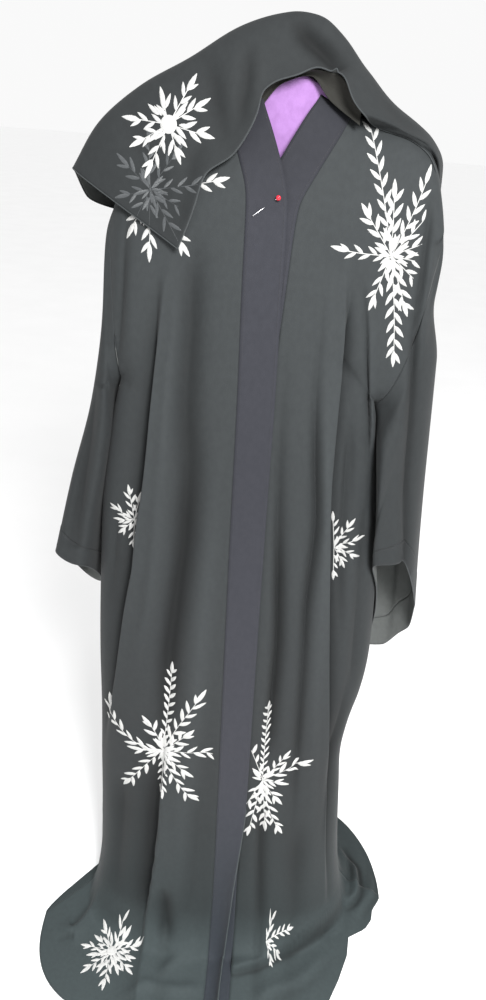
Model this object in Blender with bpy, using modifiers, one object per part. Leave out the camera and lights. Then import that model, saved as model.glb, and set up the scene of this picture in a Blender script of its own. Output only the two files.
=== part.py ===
"""A long open-front abaya cloak on a wooden hanger, with its matching shawl laid over the hook and the shoulders.

Metres, +Z up, the front facing -Y. The origin is the inside of the hook's top, where a rail or a nail holds it.
Heights in the tables are measured from the floor under the hem, and HANG_HEIGHT takes them to the origin.
"Right" and "left" are the wearer's: the right half of the cloak lies towards -X.

Every cloth piece is an open surface, lofted from sections, with a Solidify wall. The body's sections run across
each panel from its inner edge (the band's seam, or the middle of the back) to its outer edge (the armhole, and
below that the side seam). A sleeve's sections are closed rings, and the shawl's go from its front edge over the
shoulders to its back edge.
"""

import math
from collections import namedtuple

import bmesh
import bpy
import numpy as np

# ---------------------------------------------------------------- driving sizes

HANG_HEIGHT = 1.569
CLOTH_WALL = 0.0015
BAND_WALL = 0.0020
SEAM_GAP = 0.0003
COVER_LIFT = 0.0006  # of the cover above the arms
FOLDED_GAP = 0.0009  # at each side of a seam where the two pieces meet at an angle
BAND_WIDTH = 0.052
CUFF_DEPTH = 0.045
ARMHOLE_END = 0.170  # share of a panel's length where the armhole ends and the side seam starts
FLOOR_CLEARANCE = 0.0024

HANGER_HALF_WIDTH = 0.188
ARM_RADIUS = 0.0055
HOOK_WIRE = 0.0020
HOOK_RADIUS = 0.0140  # of the bend, at the middle of the wire
COVER_HALF_WIDTH = 0.150
PIN_HEAD = 0.0032
PIN_SHAFT = 0.0006

RIGHT = -1.0
LEFT = 1.0

# ---------------------------------------------------------------- tables

Station = namedtuple("Station", "down x y height")
Shape = namedtuple("Shape", "down square yoke")
Fold = namedtuple("Fold", "top bottom x_top x_middle x_bottom width_in width_out depth sharp")
Ring = namedtuple("Ring", "down square outer front inner back")
Drape = namedtuple("Drape", "front crest back")
Course = namedtuple("Course", "start end steps")
Arm = namedtuple("Arm", "out height")
Section = namedtuple("Section", "along y drop")
Neck = namedtuple("Neck", "along out y rise")
Drop = namedtuple("Drop", "along out fall")

# The upper side of the hanger's arms, out from the middle.
HANGER_TOP = (
    Arm(0.000, 1.5000),
    Arm(0.030, 1.4880),
    Arm(0.070, 1.4690),
    Arm(0.110, 1.4580),
    Arm(0.145, 1.4440),
    Arm(0.175, 1.4200),
    Arm(0.200, 1.3920),
)
# The hanger's cloth cover, as one section from its front hem over the arm to its back hem.
COVER_SECTION = (
    Section(0.00, -0.0240, -0.1150),
    Section(0.22, -0.0160, -0.0600),
    Section(0.38, -0.0090, -0.0200),
    Section(0.43, -0.0072, -0.0070),
    Section(0.46, -0.0052, -0.0018),
    Section(0.50, 0.0000, 0.0000),
    Section(0.54, 0.0052, -0.0018),
    Section(0.57, 0.0072, -0.0070),
    Section(0.62, 0.0090, -0.0200),
    Section(0.78, 0.0150, -0.0600),
    Section(1.00, 0.0200, -0.1000),
)
# The seam between each front and its band, from the neck point down to the hem on the floor.
RIGHT_BAND_SEAM = (
    Station(0.000, -0.090, 0.000, 1.4676),
    Station(0.004, -0.0885, -0.0070, 1.4665),
    Station(0.008, -0.086, -0.0125, 1.4630),
    Station(0.024, -0.078, -0.029, 1.4440),
    Station(0.045, -0.066, -0.047, 1.4160),
    Station(0.077, -0.052, -0.061, 1.3700),
    Station(0.145, -0.049, -0.072, 1.2600),
    Station(0.243, -0.044, -0.080, 1.1000),
    Station(0.335, -0.041, -0.084, 0.9500),
    Station(0.488, -0.035, -0.090, 0.7000),
    Station(0.672, -0.027, -0.100, 0.4000),
    Station(0.825, -0.021, -0.114, 0.1500),
    Station(0.865, -0.020, -0.124, 0.0860),
    Station(0.895, -0.020, -0.142, 0.0380),
    Station(0.920, -0.020, -0.170, 0.0100),
    Station(1.000, -0.024, -0.300, 0.0085),
)
LEFT_BAND_SEAM = (
    Station(0.000, 0.074, 0.000, 1.4726),
    Station(0.004, 0.0725, -0.0070, 1.4715),
    Station(0.008, 0.070, -0.0125, 1.4675),
    Station(0.024, 0.059, -0.028, 1.4470),
    Station(0.055, 0.030, -0.047, 1.3950),
    Station(0.077, 0.014, -0.056, 1.3610),
    Station(0.145, 0.008, -0.068, 1.2600),
    Station(0.243, 0.001, -0.076, 1.1000),
    Station(0.335, -0.001, -0.080, 0.9500),
    Station(0.488, 0.007, -0.086, 0.7000),
    Station(0.672, 0.017, -0.096, 0.4000),
    Station(0.825, 0.023, -0.109, 0.1500),
    Station(0.865, 0.025, -0.119, 0.0840),
    Station(0.895, 0.026, -0.137, 0.0330),
    Station(0.920, 0.026, -0.165, 0.0050),
    Station(1.000, 0.022, -0.290, 0.0040),
)
# The free edges of the two front bands, down to where each runs straight beside its seam.
RIGHT_BAND_EDGE = (
    Station(0.000, -0.043, 0.000, 1.4875),
    Station(0.008, -0.042, -0.0110, 1.4840),
    Station(0.024, -0.036, -0.024, 1.4690),
    Station(0.045, -0.021, -0.040, 1.4350),
    Station(0.077, -0.001, -0.060, 1.3740),
    Station(0.100, 0.002, -0.064, 1.3370),
)
LEFT_BAND_EDGE = (
    Station(0.000, 0.030, 0.000, 1.4915),
    Station(0.008, 0.029, -0.0110, 1.4880),
    Station(0.024, 0.017, -0.024, 1.4700),
    Station(0.055, -0.014, -0.040, 1.4140),
    Station(0.077, -0.034, -0.052, 1.3700),
    Station(0.100, -0.040, -0.059, 1.3320),
)
NECK_BAND_EDGE = (
    Station(-1.00, -0.043, 0.000, 1.4875),
    Station(-0.50, -0.032, 0.014, 1.5020),
    Station(0.00, -0.008, 0.0195, 1.5100),
    Station(0.50, 0.018, 0.014, 1.5040),
    Station(1.00, 0.030, 0.000, 1.4915),
)
BACK_MIDDLE = (
    Station(0.000, -0.008, 0.036, 1.4560),
    Station(0.008, -0.008, 0.040, 1.4470),
    Station(0.030, -0.007, 0.050, 1.4150),
    Station(0.077, -0.006, 0.060, 1.3500),
    Station(0.170, -0.004, 0.070, 1.2000),
    Station(0.335, 0.000, 0.082, 0.9500),
    Station(0.488, 0.002, 0.096, 0.7000),
    Station(0.672, 0.005, 0.118, 0.4000),
    Station(0.825, 0.010, 0.140, 0.1500),
    Station(0.890, 0.015, 0.155, 0.0460),
    Station(0.925, 0.020, 0.190, 0.0060),
    Station(1.000, 0.040, 0.270, 0.0040),
)
# The side seams, from the end of the armhole down.
RIGHT_SIDE_SEAM = (
    Station(0.170, -0.212, 0.000, 1.1080),
    Station(0.243, -0.216, 0.004, 1.0200),
    Station(0.335, -0.226, 0.008, 0.9000),
    Station(0.488, -0.246, 0.012, 0.6800),
    Station(0.672, -0.252, 0.012, 0.3950),
    Station(0.825, -0.254, 0.008, 0.1500),
    Station(0.890, -0.264, -0.004, 0.0460),
    Station(0.925, -0.278, -0.018, 0.0060),
    Station(1.000, -0.352, -0.090, 0.0040),
)
LEFT_SIDE_SEAM = (
    Station(0.170, 0.148, 0.000, 1.1080),
    Station(0.243, 0.158, 0.006, 1.0200),
    Station(0.335, 0.174, 0.012, 0.9000),
    Station(0.488, 0.190, 0.016, 0.6800),
    Station(0.672, 0.203, 0.020, 0.3950),
    Station(0.825, 0.224, 0.024, 0.1500),
    Station(0.890, 0.244, 0.026, 0.0460),
    Station(0.925, 0.272, 0.028, 0.0060),
    Station(1.000, 0.332, 0.006, 0.0040),
)
# How square each section turns from its flat part to the side, and how much of the shoulders' line it keeps.
FRONT_SHAPE = (
    Shape(0.000, 2.0, 1.00),
    Shape(0.045, 2.6, 0.96),
    Shape(0.100, 3.2, 0.66),
    Shape(0.170, 3.4, 0.24),
    Shape(0.243, 3.4, 0.00),
    Shape(0.672, 3.2, 0.00),
    Shape(0.890, 2.8, 0.00),
    Shape(1.000, 2.8, 0.00),
)
FRONT_LEFT_SHAPE = FRONT_SHAPE[:-2] + (Shape(0.890, 2.6, 0.00), Shape(0.925, 2.0, 0.00), Shape(1.000, 1.3, 0.00))
BACK_RIGHT_SHAPE = FRONT_SHAPE[:-2] + (Shape(0.890, 2.4, 0.00), Shape(0.925, 1.6, 0.00), Shape(1.000, 1.2, 0.00))
BACK_LEFT_SHAPE = FRONT_SHAPE[:-2] + (Shape(0.890, 2.6, 0.00), Shape(1.000, 2.3, 0.00))
# Where a panel's upper edge leaves the hanger's arm, and how it drops from there to the top of the armhole.
ARM_END = 0.190
DROP = (
    Drop(0.00, 0.00, 0.00),
    Drop(0.25, 0.34, 0.24),
    Drop(0.60, 0.76, 0.62),
    Drop(1.00, 1.00, 1.00),
)
# The back neckline, as shares of the way from the middle of the back to the neck point.
NECKLINE = (
    Neck(0.00, 0.00, 1.00, 0.00),
    Neck(0.50, 0.52, 0.86, 0.25),
    Neck(0.85, 0.88, 0.28, 0.92),
    Neck(1.00, 1.00, 0.00, 1.00),
)
# The big folds. A positive depth moves the cloth inwards, into a valley.
RIGHT_FRONT_FOLDS = (
    Fold(0.14, 0.66, -0.158, -0.185, -0.238, 0.016, 0.030, 0.016, 1.3),
    Fold(0.17, 0.93, -0.098, -0.108, -0.148, 0.022, 0.026, 0.011, 1.8),
    Fold(0.20, 0.90, -0.128, -0.146, -0.196, 0.016, 0.018, -0.010, 2.0),
    Fold(0.30, 0.93, -0.066, -0.070, -0.080, 0.018, 0.018, -0.006, 2.0),
)
LEFT_FRONT_FOLDS = (
    Fold(0.11, 0.90, 0.090, 0.100, 0.190, 0.022, 0.014, 0.016, 1.3),
    Fold(0.18, 0.70, 0.055, 0.080, 0.100, 0.018, 0.018, 0.007, 1.8),
    Fold(0.20, 0.90, 0.074, 0.104, 0.150, 0.016, 0.016, -0.010, 2.0),
    Fold(0.30, 0.90, 0.030, 0.040, 0.060, 0.014, 0.014, -0.005, 2.0),
)
BACK_FOLDS = (
    Fold(0.10, 0.93, -0.150, -0.160, -0.190, 0.022, 0.020, 0.014, 1.6),
    Fold(0.12, 0.93, -0.080, -0.085, -0.100, 0.024, 0.022, 0.012, 1.8),
    Fold(0.14, 0.93, -0.010, -0.006, 0.000, 0.024, 0.024, 0.013, 1.8),
    Fold(0.12, 0.93, 0.066, 0.075, 0.095, 0.022, 0.024, 0.012, 1.8),
    Fold(0.10, 0.93, 0.120, 0.132, 0.170, 0.018, 0.020, 0.012, 1.6),
)
# Sleeve rings as four points, each (x, y, height): outer edge, front, inner edge by the body, back.
RIGHT_ARMHOLE = Ring(
    0.0, 2.0, (-0.228, 0.000, 1.335), (-0.222, -0.050, 1.222), (-0.212, 0.000, 1.108), (-0.222, 0.050, 1.222)
)
LEFT_ARMHOLE = Ring(
    0.0, 2.0, (0.214, 0.000, 1.335), (0.194, -0.048, 1.222), (0.148, 0.000, 1.108), (0.190, 0.050, 1.222)
)
RIGHT_SLEEVE = (
    Ring(0.00, 2.0, (-0.229, 0.000, 1.334), (-0.223, -0.051, 1.222), (-0.2155, 0.000, 1.106), (-0.223, 0.051, 1.222)),
    Ring(0.05, 2.0, (-0.234, 0.000, 1.312), (-0.232, -0.054, 1.204), (-0.224, -0.002, 1.088), (-0.231, 0.054, 1.204)),
    Ring(0.22, 2.2, (-0.238, 0.004, 1.220), (-0.236, -0.052, 1.130), (-0.228, -0.006, 1.040), (-0.234, 0.062, 1.120)),
    Ring(0.48, 2.4, (-0.258, 0.010, 1.080), (-0.250, -0.052, 1.020), (-0.236, -0.008, 0.962), (-0.248, 0.074, 1.000)),
    Ring(0.74, 2.8, (-0.288, 0.012, 0.940), (-0.274, -0.054, 0.920), (-0.250, -0.010, 0.884), (-0.268, 0.082, 0.850)),
    Ring(1.00, 3.2, (-0.312, 0.006, 0.806), (-0.292, -0.056, 0.830), (-0.258, -0.014, 0.790), (-0.282, 0.084, 0.706)),
)
LEFT_SLEEVE = (
    Ring(0.00, 2.0, (0.215, 0.000, 1.334), (0.195, -0.049, 1.222), (0.1515, 0.000, 1.106), (0.191, 0.051, 1.222)),
    Ring(0.05, 2.0, (0.221, 0.003, 1.312), (0.201, -0.056, 1.206), (0.158, -0.004, 1.088), (0.200, 0.054, 1.204)),
    Ring(0.22, 2.2, (0.230, 0.016, 1.225), (0.188, -0.066, 1.140), (0.164, -0.018, 1.040), (0.204, 0.062, 1.110)),
    Ring(0.48, 2.4, (0.248, 0.022, 1.080), (0.192, -0.074, 1.040), (0.180, -0.020, 0.960), (0.218, 0.072, 0.950)),
    Ring(0.74, 2.8, (0.268, 0.022, 0.920), (0.202, -0.078, 0.958), (0.194, -0.016, 0.860), (0.234, 0.078, 0.780)),
    Ring(1.00, 3.2, (0.290, 0.020, 0.748), (0.207, -0.080, 0.872), (0.209, -0.012, 0.740), (0.257, 0.082, 0.612)),
)
# The shawl, as sections from its front edge over the crest to its back edge, each point (x, y, height).
SHAWL = (
    Drape((-0.133, -0.078, 1.304), (-0.279, -0.012, 1.384), (-0.208, 0.094, 1.262)),
    Drape((-0.116, -0.075, 1.352), (-0.246, -0.010, 1.438), (-0.196, 0.100, 1.222)),
    Drape((-0.104, -0.068, 1.391), (-0.194, 0.000, 1.484), (-0.164, 0.102, 1.180)),
    Drape((-0.070, -0.062, 1.418), (-0.134, 0.000, 1.518), (-0.118, 0.100, 1.156)),
    Drape((-0.046, -0.050, 1.464), (-0.074, 0.000, 1.555), (-0.070, 0.098, 1.142)),
    Drape((-0.042, -0.040, 1.487), (-0.036, 0.000, 1.569), (-0.040, 0.096, 1.138)),
    Drape((-0.026, -0.034, 1.504), (-0.006, 0.000, 1.5752), (-0.010, 0.096, 1.136)),
    Drape((-0.002, -0.030, 1.516), (0.020, 0.001, 1.5722), (0.020, 0.096, 1.134)),
    Drape((0.022, -0.028, 1.522), (0.050, 0.004, 1.554), (0.048, 0.098, 1.133)),
    Drape((0.044, -0.028, 1.522), (0.082, 0.006, 1.522), (0.080, 0.098, 1.132)),
    Drape((0.068, -0.034, 1.490), (0.124, 0.008, 1.486), (0.114, 0.100, 1.130)),
    Drape((0.108, -0.036, 1.464), (0.158, 0.012, 1.462), (0.146, 0.104, 1.128)),
    Drape((0.150, -0.034, 1.449), (0.184, 0.022, 1.442), (0.176, 0.108, 1.128)),
    Drape((0.194, -0.020, 1.420), (0.214, 0.040, 1.410), (0.202, 0.114, 1.130)),
    Drape((0.228, 0.054, 1.298), (0.232, 0.084, 1.270), (0.214, 0.120, 1.134)),
)
SHAWL_STRETCHES = (("shawl_right_end", 0.0, 0.36), ("shawl_crown", 0.36, 0.58), ("shawl_left_end", 0.58, 1.0))

# How the surfaces are divided along each panel, closer where the cloth bends.
PANEL_COURSES = (
    Course(0.0, 0.008, 2),
    Course(0.008, 0.03, 2),
    Course(0.03, 0.25, 8),
    Course(0.25, 0.86, 13),
    Course(0.86, 0.94, 6),
    Course(0.94, 1.0, 2),
)
BACK_COURSES = (
    Course(0.0, 0.03, 3),
    Course(0.03, 0.25, 6),
    Course(0.25, 0.86, 9),
    Course(0.86, 0.94, 5),
    Course(0.94, 1.0, 2),
)
SHAWL_SHARES = (0, 0.10, 0.19, 0.27, 0.34, 0.38, 0.42, 0.49, 0.56, 0.63, 0.72, 0.81, 0.90, 1)
FRONT_COLUMNS = 15
BACK_COLUMNS = 12  # on each side of the middle
SLEEVE_RINGS = 12
SLEEVE_SIDES = 18


# ---------------------------------------------------------------- surfaces


def through(keys, values, at):
    """A smooth curve through the values that never swings past them, read at the places asked for."""
    keys = np.asarray(keys, float)
    values = np.asarray(values, float)
    flat = values.ndim == 1
    values = values.reshape(len(keys), -1)
    at = np.clip(np.asarray(at, float), keys[0], keys[-1])
    rise = np.diff(values, axis=0) / np.diff(keys)[:, None]
    before, after = rise[:-1], rise[1:]
    same_way = before * after > 0
    inner = np.where(same_way, 2 * before * after / np.where(same_way, before + after, 1.0), 0.0)
    slopes = np.concatenate([rise[:1], inner, rise[-1:]])
    i = np.clip(np.searchsorted(keys, at, side="right") - 1, 0, len(keys) - 2)
    span = (keys[i + 1] - keys[i])[..., None]
    t = (at - keys[i])[..., None] / span
    start = (1 + 2 * t) * (1 - t) ** 2 * values[i] + t * (1 - t) ** 2 * span * slopes[i]
    end = t**2 * (3 - 2 * t) * values[i + 1] + t**2 * (t - 1) * span * slopes[i + 1]
    return (start + end)[..., 0] if flat else start + end


def place(table, at):
    """Points of a table of stations, at the given shares of its length."""
    return through([row[0] for row in table], [row[1:4] for row in table], at)


def courses(table):
    runs = [np.linspace(c.start, c.end, c.steps, endpoint=False) for c in table]
    return np.concatenate(runs + [[table[-1].end]])


def ring_points(square, corners, angle):
    """Points of a closed ring that passes its four named points: outer at 0, front at -90 degrees."""
    outer, front, inner, back = (np.asarray(p, float) for p in corners)
    middle = (outer + front + inner + back) / 4
    twist = (outer + inner - front - back) / 4
    turn = np.asarray(angle)[..., None]
    side = np.sign(np.cos(turn)) * np.abs(np.cos(turn)) ** (2 / square)
    depth = np.sign(np.sin(turn)) * np.abs(np.sin(turn)) ** (2 / square)
    return middle + (outer - inner) / 2 * side + (back - front) / 2 * depth + twist * (side**2 - depth**2)


def sleeve_points(table, down, angle):
    keys = [row.down for row in table]
    square = through(keys, [row.square for row in table], down)
    corners = [through(keys, [row[i] for row in table], down) for i in range(2, 6)]
    rings = []
    for k in range(len(down)):
        ring = ring_points(square[k], [corner[k] for corner in corners], angle)
        closed = np.concatenate([ring, ring[:1]])
        rings.append(even(closed, SLEEVE_SIDES + 1)[:-1])
    return np.array(rings)


def outer_edge(side, face, down):
    """A panel's outer edge: half of the armhole's ring, then the side seam. face is -1 on a front, 1 on the back."""
    ring, seam = (RIGHT_ARMHOLE, RIGHT_SIDE_SEAM) if side == RIGHT else (LEFT_ARMHOLE, LEFT_SIDE_SEAM)
    along = np.clip(down / ARMHOLE_END, 0, 1)
    armhole = ring_points(ring.square, ring[2:], face * math.pi * along)
    return np.where((down < ARMHOLE_END)[:, None], armhole, place(seam, down))


def even(points, count):
    """The same line with its points an equal distance apart."""
    steps = np.linalg.norm(np.diff(points, axis=0), axis=1)
    length = np.concatenate([[0], np.cumsum(steps)])
    wanted = np.linspace(0, length[-1], count)
    return np.stack([np.interp(wanted, length, points[:, i]) for i in range(3)], axis=1)


def arm_top(out, above=0.0):
    """The height of the hanger's upper side, or of a layer that lies a distance above it."""
    keys = [row.out for row in HANGER_TOP]
    heights = [row.height for row in HANGER_TOP]
    out = np.abs(out)
    step = 0.001
    slope = (through(keys, heights, out + step) - through(keys, heights, np.abs(out - step))) / (2 * step)
    return through(keys, heights, out) + above * np.sqrt(1 + slope**2)


def shoulder_line(side, start):
    """The upper edge of a panel from its neck point, out on the arm, over its end and down to the armhole."""
    armhole = RIGHT_ARMHOLE if side == RIGHT else LEFT_ARMHOLE
    out = np.linspace(abs(start.x), ARM_END, 40)
    height = arm_top(out, COVER_LIFT + 1.5 * CLOTH_WALL + 1.5 * SEAM_GAP)
    height += (start.height - height[0]) * np.clip(1 - (out - out[0]) / 0.02, 0, 1)
    on_arm = np.stack([out * side, np.zeros_like(out), height], axis=1)
    share = through([row.along for row in DROP], [row[1:] for row in DROP], np.linspace(0, 1, 24))
    leave = on_arm[-1]
    drop = leave + (np.array(armhole.outer) - leave) * np.stack([share[:, 0], share[:, 0], share[:, 1]], axis=1)
    return np.concatenate([on_arm[:-1], drop])


def neckline(point, count):
    """The back neckline, from the middle of the back to a neck point."""
    share = through([row.along for row in NECKLINE], [row[1:] for row in NECKLINE], np.linspace(0, 1, count))
    middle = BACK_MIDDLE[0]
    x = middle.x + (point.x - middle.x) * share[:, 0]
    height = middle.height + (point.height - middle.height) * share[:, 2]
    return np.stack([x, middle.y * share[:, 1], height], axis=1)


def crest_bend(line, count):
    """How far the upper edge leaves the straight line between its ends."""
    line = even(line, count)
    share = np.linspace(0, 1, count)[:, None]
    return line - (line[0] + share * (line[-1] - line[0]))


def across(inner, outer, square, bend, count):
    """One section: from the inner edge square across the panel, then round to the outer edge."""
    turn = np.linspace(0, math.pi / 2, 160)
    reach = np.sin(turn) ** (2 / square)
    hold = np.cos(turn) ** (2 / square)
    points = np.empty((len(turn), 3))
    points[:, 0] = inner[0] + (outer[0] - inner[0]) * reach
    points[:, 1] = outer[1] + (inner[1] - outer[1]) * hold
    run = np.hypot(points[:, 0] - inner[0], points[:, 1] - inner[1])
    points[:, 2] = inner[2] + (outer[2] - inner[2]) * run / run[-1]
    return even(points, count) + bend


def panel_base(middle, crest, shape, side, face, down, columns):
    bend = crest_bend(crest, columns)
    inner = place(middle, down)
    outer = outer_edge(side, face, down)
    keys = [row.down for row in shape]
    square = through(keys, [row.square for row in shape], down)
    yoke = through(keys, [row.yoke for row in shape], down)
    rows = [
        across(inner[k], outer[k], square[k], yoke[k] * bend, columns) for k in range(len(down))
    ]
    return np.array(rows)


def normals_of(grid, inside):
    """Unit normals of a grid of points, turned away from the middle line of the body."""
    along = np.gradient(grid, axis=0)
    aside = np.gradient(grid, axis=1)
    normal = np.cross(aside, along)
    normal /= np.linalg.norm(normal, axis=2, keepdims=True) + 1e-12
    return normal * inside


def fold_depth(folds, down, x):
    """The sum of the folds at each point, in metres inwards."""
    total = np.zeros_like(x)
    for fold in folds:
        share = np.clip((down - fold.top) / (fold.bottom - fold.top), 0, 1)
        at = through((0, 0.5, 1), (fold.x_top, fold.x_middle, fold.x_bottom), share)
        off = x - at
        towards_middle = off * np.sign(at) < 0
        width = np.where(towards_middle, fold.width_in, fold.width_out)
        rise = np.sin(np.clip(share * 1.25, 0, 1) * math.pi / 2) ** 1.4
        end = np.clip((fold.bottom + 0.06 - down) / 0.10, 0, 1)
        total += fold.depth * rise * end * np.exp(-((np.abs(off) / width) ** fold.sharp))
    return total


def panel(middle, crest, shape, side, face, folds, down, columns):
    """A panel's grid of points, from its inner edge to its outer edge, with its folds."""
    grid = panel_base(middle, crest, shape, side, face, down, columns)
    outward = normals_of(grid, side * face)
    share = np.linspace(0, 1, columns)[None, :]
    still = np.clip(share / 0.10, 0, 1) * np.clip((1 - share) / 0.12, 0, 1)
    depth = fold_depth(folds, np.repeat(down[:, None], columns, axis=1), grid[:, :, 0])
    return grid - outward * (depth * still)[:, :, None]


def settle(grid):
    """Keeps the cloth just above the floor."""
    grid[..., 2] = np.maximum(grid[..., 2], FLOOR_CLEARANCE)
    return grid


def trim(grid, first_row=0.0, last_row=0.0, first_column=0.0, last_column=0.0):
    """Moves the edges of a grid inwards by a length, so that neighbours stay apart at the seam."""
    moves = ((0, 0, 1, first_row), (0, -1, -2, last_row), (1, 0, 1, first_column), (1, -1, -2, last_column))
    for axis, edge, neighbour, length in moves:
        lines = grid if axis == 0 else grid.transpose(1, 0, 2)
        step = lines[neighbour] - lines[edge]
        size = np.linalg.norm(step, axis=1, keepdims=True) + 1e-12
        lines[edge] += step / size * length
    return grid


# ---------------------------------------------------------------- Blender objects


def material(name, colour, roughness, metallic=0.0):
    made = bpy.data.materials.new(name)
    made.use_nodes = True
    shader = made.node_tree.nodes["Principled BSDF"]
    shader.inputs["Base Color"].default_value = (*colour, 1.0)
    shader.inputs["Roughness"].default_value = roughness
    shader.inputs["Metallic"].default_value = metallic
    made.diffuse_color = (*colour, 1.0)
    return made


def loft(name, grid, wall, finish, ring=False):
    """An open surface through a grid of points, given a wall. A ring's rows close on themselves."""
    rows, columns = grid.shape[:2]
    mesh = bpy.data.meshes.new(name)
    surface = bmesh.new()
    points = grid - (0, 0, HANG_HEIGHT)
    verts = [[surface.verts.new(point) for point in row] for row in points]
    for i in range(rows - 1):
        for j in range(columns if ring else columns - 1):
            k = (j + 1) % columns
            surface.faces.new((verts[i][j], verts[i][k], verts[i + 1][k], verts[i + 1][j]))
    surface.normal_update()
    surface.to_mesh(mesh)
    surface.free()
    mesh.shade_smooth()
    piece = bpy.data.objects.new(name, mesh)
    piece.data.materials.append(finish)
    collection.objects.link(piece)
    solid = piece.modifiers.new("Wall", "SOLIDIFY")
    solid.thickness = wall
    solid.offset = 0.0
    solid.use_even_offset = False
    return piece


def wire(name, points, radius, finish, resolution=2):
    """A round wire through points given with their heights from the floor."""
    line = bpy.data.curves.new(name, "CURVE")
    line.dimensions = "3D"
    line.bevel_depth = radius
    line.bevel_resolution = resolution
    line.use_fill_caps = True
    spline = line.splines.new("POLY")
    spline.points.add(len(points) - 1)
    for point, (x, y, height) in zip(spline.points, points):
        point.co = (x, y, height - HANG_HEIGHT, 1.0)
    piece = bpy.data.objects.new(name, line)
    line.materials.append(finish)
    collection.objects.link(piece)
    return piece


def cut(piece, name, operation, line):
    """Joins or cuts a piece with a wire, which becomes a hidden helper mesh."""
    bpy.context.view_layer.update()
    evaluated = line.evaluated_get(bpy.context.evaluated_depsgraph_get())
    mesh = bpy.data.meshes.new_from_object(evaluated)
    welded = bmesh.new()
    welded.from_mesh(mesh)
    bmesh.ops.remove_doubles(welded, verts=welded.verts, dist=1e-5)
    welded.to_mesh(mesh)
    welded.free()
    helper = bpy.data.objects.new(line.name + "_helper", mesh)
    bpy.data.objects.remove(line)
    helpers.objects.link(helper)
    helper.hide_render = True
    helper.display_type = "WIRE"
    made = piece.modifiers.new(name, "BOOLEAN")
    made.operation = operation
    made.object = helper


# ---------------------------------------------------------------- the pieces


def build_body(cloth):
    down = courses(PANEL_COURSES)
    fronts = (
        ("front_right", RIGHT_BAND_SEAM, FRONT_SHAPE, RIGHT, RIGHT_FRONT_FOLDS),
        ("front_left", LEFT_BAND_SEAM, FRONT_LEFT_SHAPE, LEFT, LEFT_FRONT_FOLDS),
    )
    for name, seam, shape, side, folds in fronts:
        crest = shoulder_line(side, seam[0])
        grid = panel(seam, crest, shape, side, -1, folds, down, FRONT_COLUMNS)
        trim(settle(grid), first_row=SEAM_GAP, first_column=SEAM_GAP, last_column=FOLDED_GAP)
        loft(name, grid if side == LEFT else grid[:, ::-1], CLOTH_WALL, cloth)
    down = courses(BACK_COURSES)
    halves = []
    for side, shape, seam in (
        (RIGHT, BACK_RIGHT_SHAPE, RIGHT_BAND_SEAM),
        (LEFT, BACK_LEFT_SHAPE, LEFT_BAND_SEAM),
    ):
        crest = np.concatenate([neckline(seam[0], 30)[:-1], shoulder_line(side, seam[0])])
        halves.append(panel(BACK_MIDDLE, crest, shape, side, 1, BACK_FOLDS, down, BACK_COLUMNS + 1))
    grid = np.concatenate([halves[0][:, :0:-1], halves[1]], axis=1)
    trim(settle(grid), first_row=SEAM_GAP, first_column=FOLDED_GAP, last_column=FOLDED_GAP)
    loft("back", grid, CLOTH_WALL, cloth)


def band_points(seam, edge, side, down, columns=4):
    """A front band: from its seam to its free edge, square to the seam and level with the cloth."""
    line = place(seam, down)
    run = np.gradient(line, down, axis=0)
    run /= np.linalg.norm(run, axis=1, keepdims=True)
    to_middle = np.array([-side, 0.0, 0.0])
    aside = to_middle - run * (run @ to_middle)[:, None]
    aside /= np.linalg.norm(aside, axis=1, keepdims=True)
    straight = np.clip((down - edge[-2].down) / (edge[-1].down - edge[-2].down), 0, 1)[:, None]
    free = place(edge, down) * (1 - straight) + (line + aside * BAND_WIDTH) * straight
    share = np.linspace(0, 1, columns)[None, :, None]
    return line[:, None, :] * (1 - share) + free[:, None, :] * share


def build_bands(band):
    down = courses(PANEL_COURSES)
    for name, seam, edge, side in (
        ("band_right", RIGHT_BAND_SEAM, RIGHT_BAND_EDGE, RIGHT),
        ("band_left", LEFT_BAND_SEAM, LEFT_BAND_EDGE, LEFT),
    ):
        grid = settle(band_points(seam, edge, side, down))
        trim(grid, first_row=SEAM_GAP, first_column=SEAM_GAP)
        loft(name, grid if side == RIGHT else grid[:, ::-1], BAND_WALL, band)


def build_neck_band(band):
    """The band round the back of the neck, which stands on the back neckline between the two front bands."""
    count = 8
    right = neckline(RIGHT_BAND_SEAM[0], count)[::-1]
    left = neckline(LEFT_BAND_SEAM[0], count)
    seam = np.concatenate([right[:-1], left])
    free = place(NECK_BAND_EDGE, np.linspace(-1, 1, len(seam)))
    share = np.linspace(0, 1, 4)[None, :, None]
    grid = seam[:, None, :] * (1 - share) + free[:, None, :] * share
    trim(grid, first_row=FOLDED_GAP, last_row=FOLDED_GAP, first_column=FOLDED_GAP)
    loft("band_neck", grid, BAND_WALL, band)


def build_sleeves(cloth, band):
    angles = np.linspace(0, 2 * math.pi, 180, endpoint=False)
    for name, table in (("right", RIGHT_SLEEVE), ("left", LEFT_SLEEVE)):
        cuff_start = 1 - CUFF_DEPTH / 0.50
        for piece, start, end, count, wall, finish in (
            ("sleeve_", 0.0, cuff_start, SLEEVE_RINGS, CLOTH_WALL, cloth),
            ("cuff_", cuff_start, 1.0, 3, BAND_WALL, band),
        ):
            down = np.linspace(start, end, count)
            grid = sleeve_points(table, down, angles)
            trim(grid, first_row=FOLDED_GAP, last_row=FOLDED_GAP)
            loft(piece + name, grid if name == "left" else grid[:, ::-1], wall, finish, ring=True)


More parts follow.
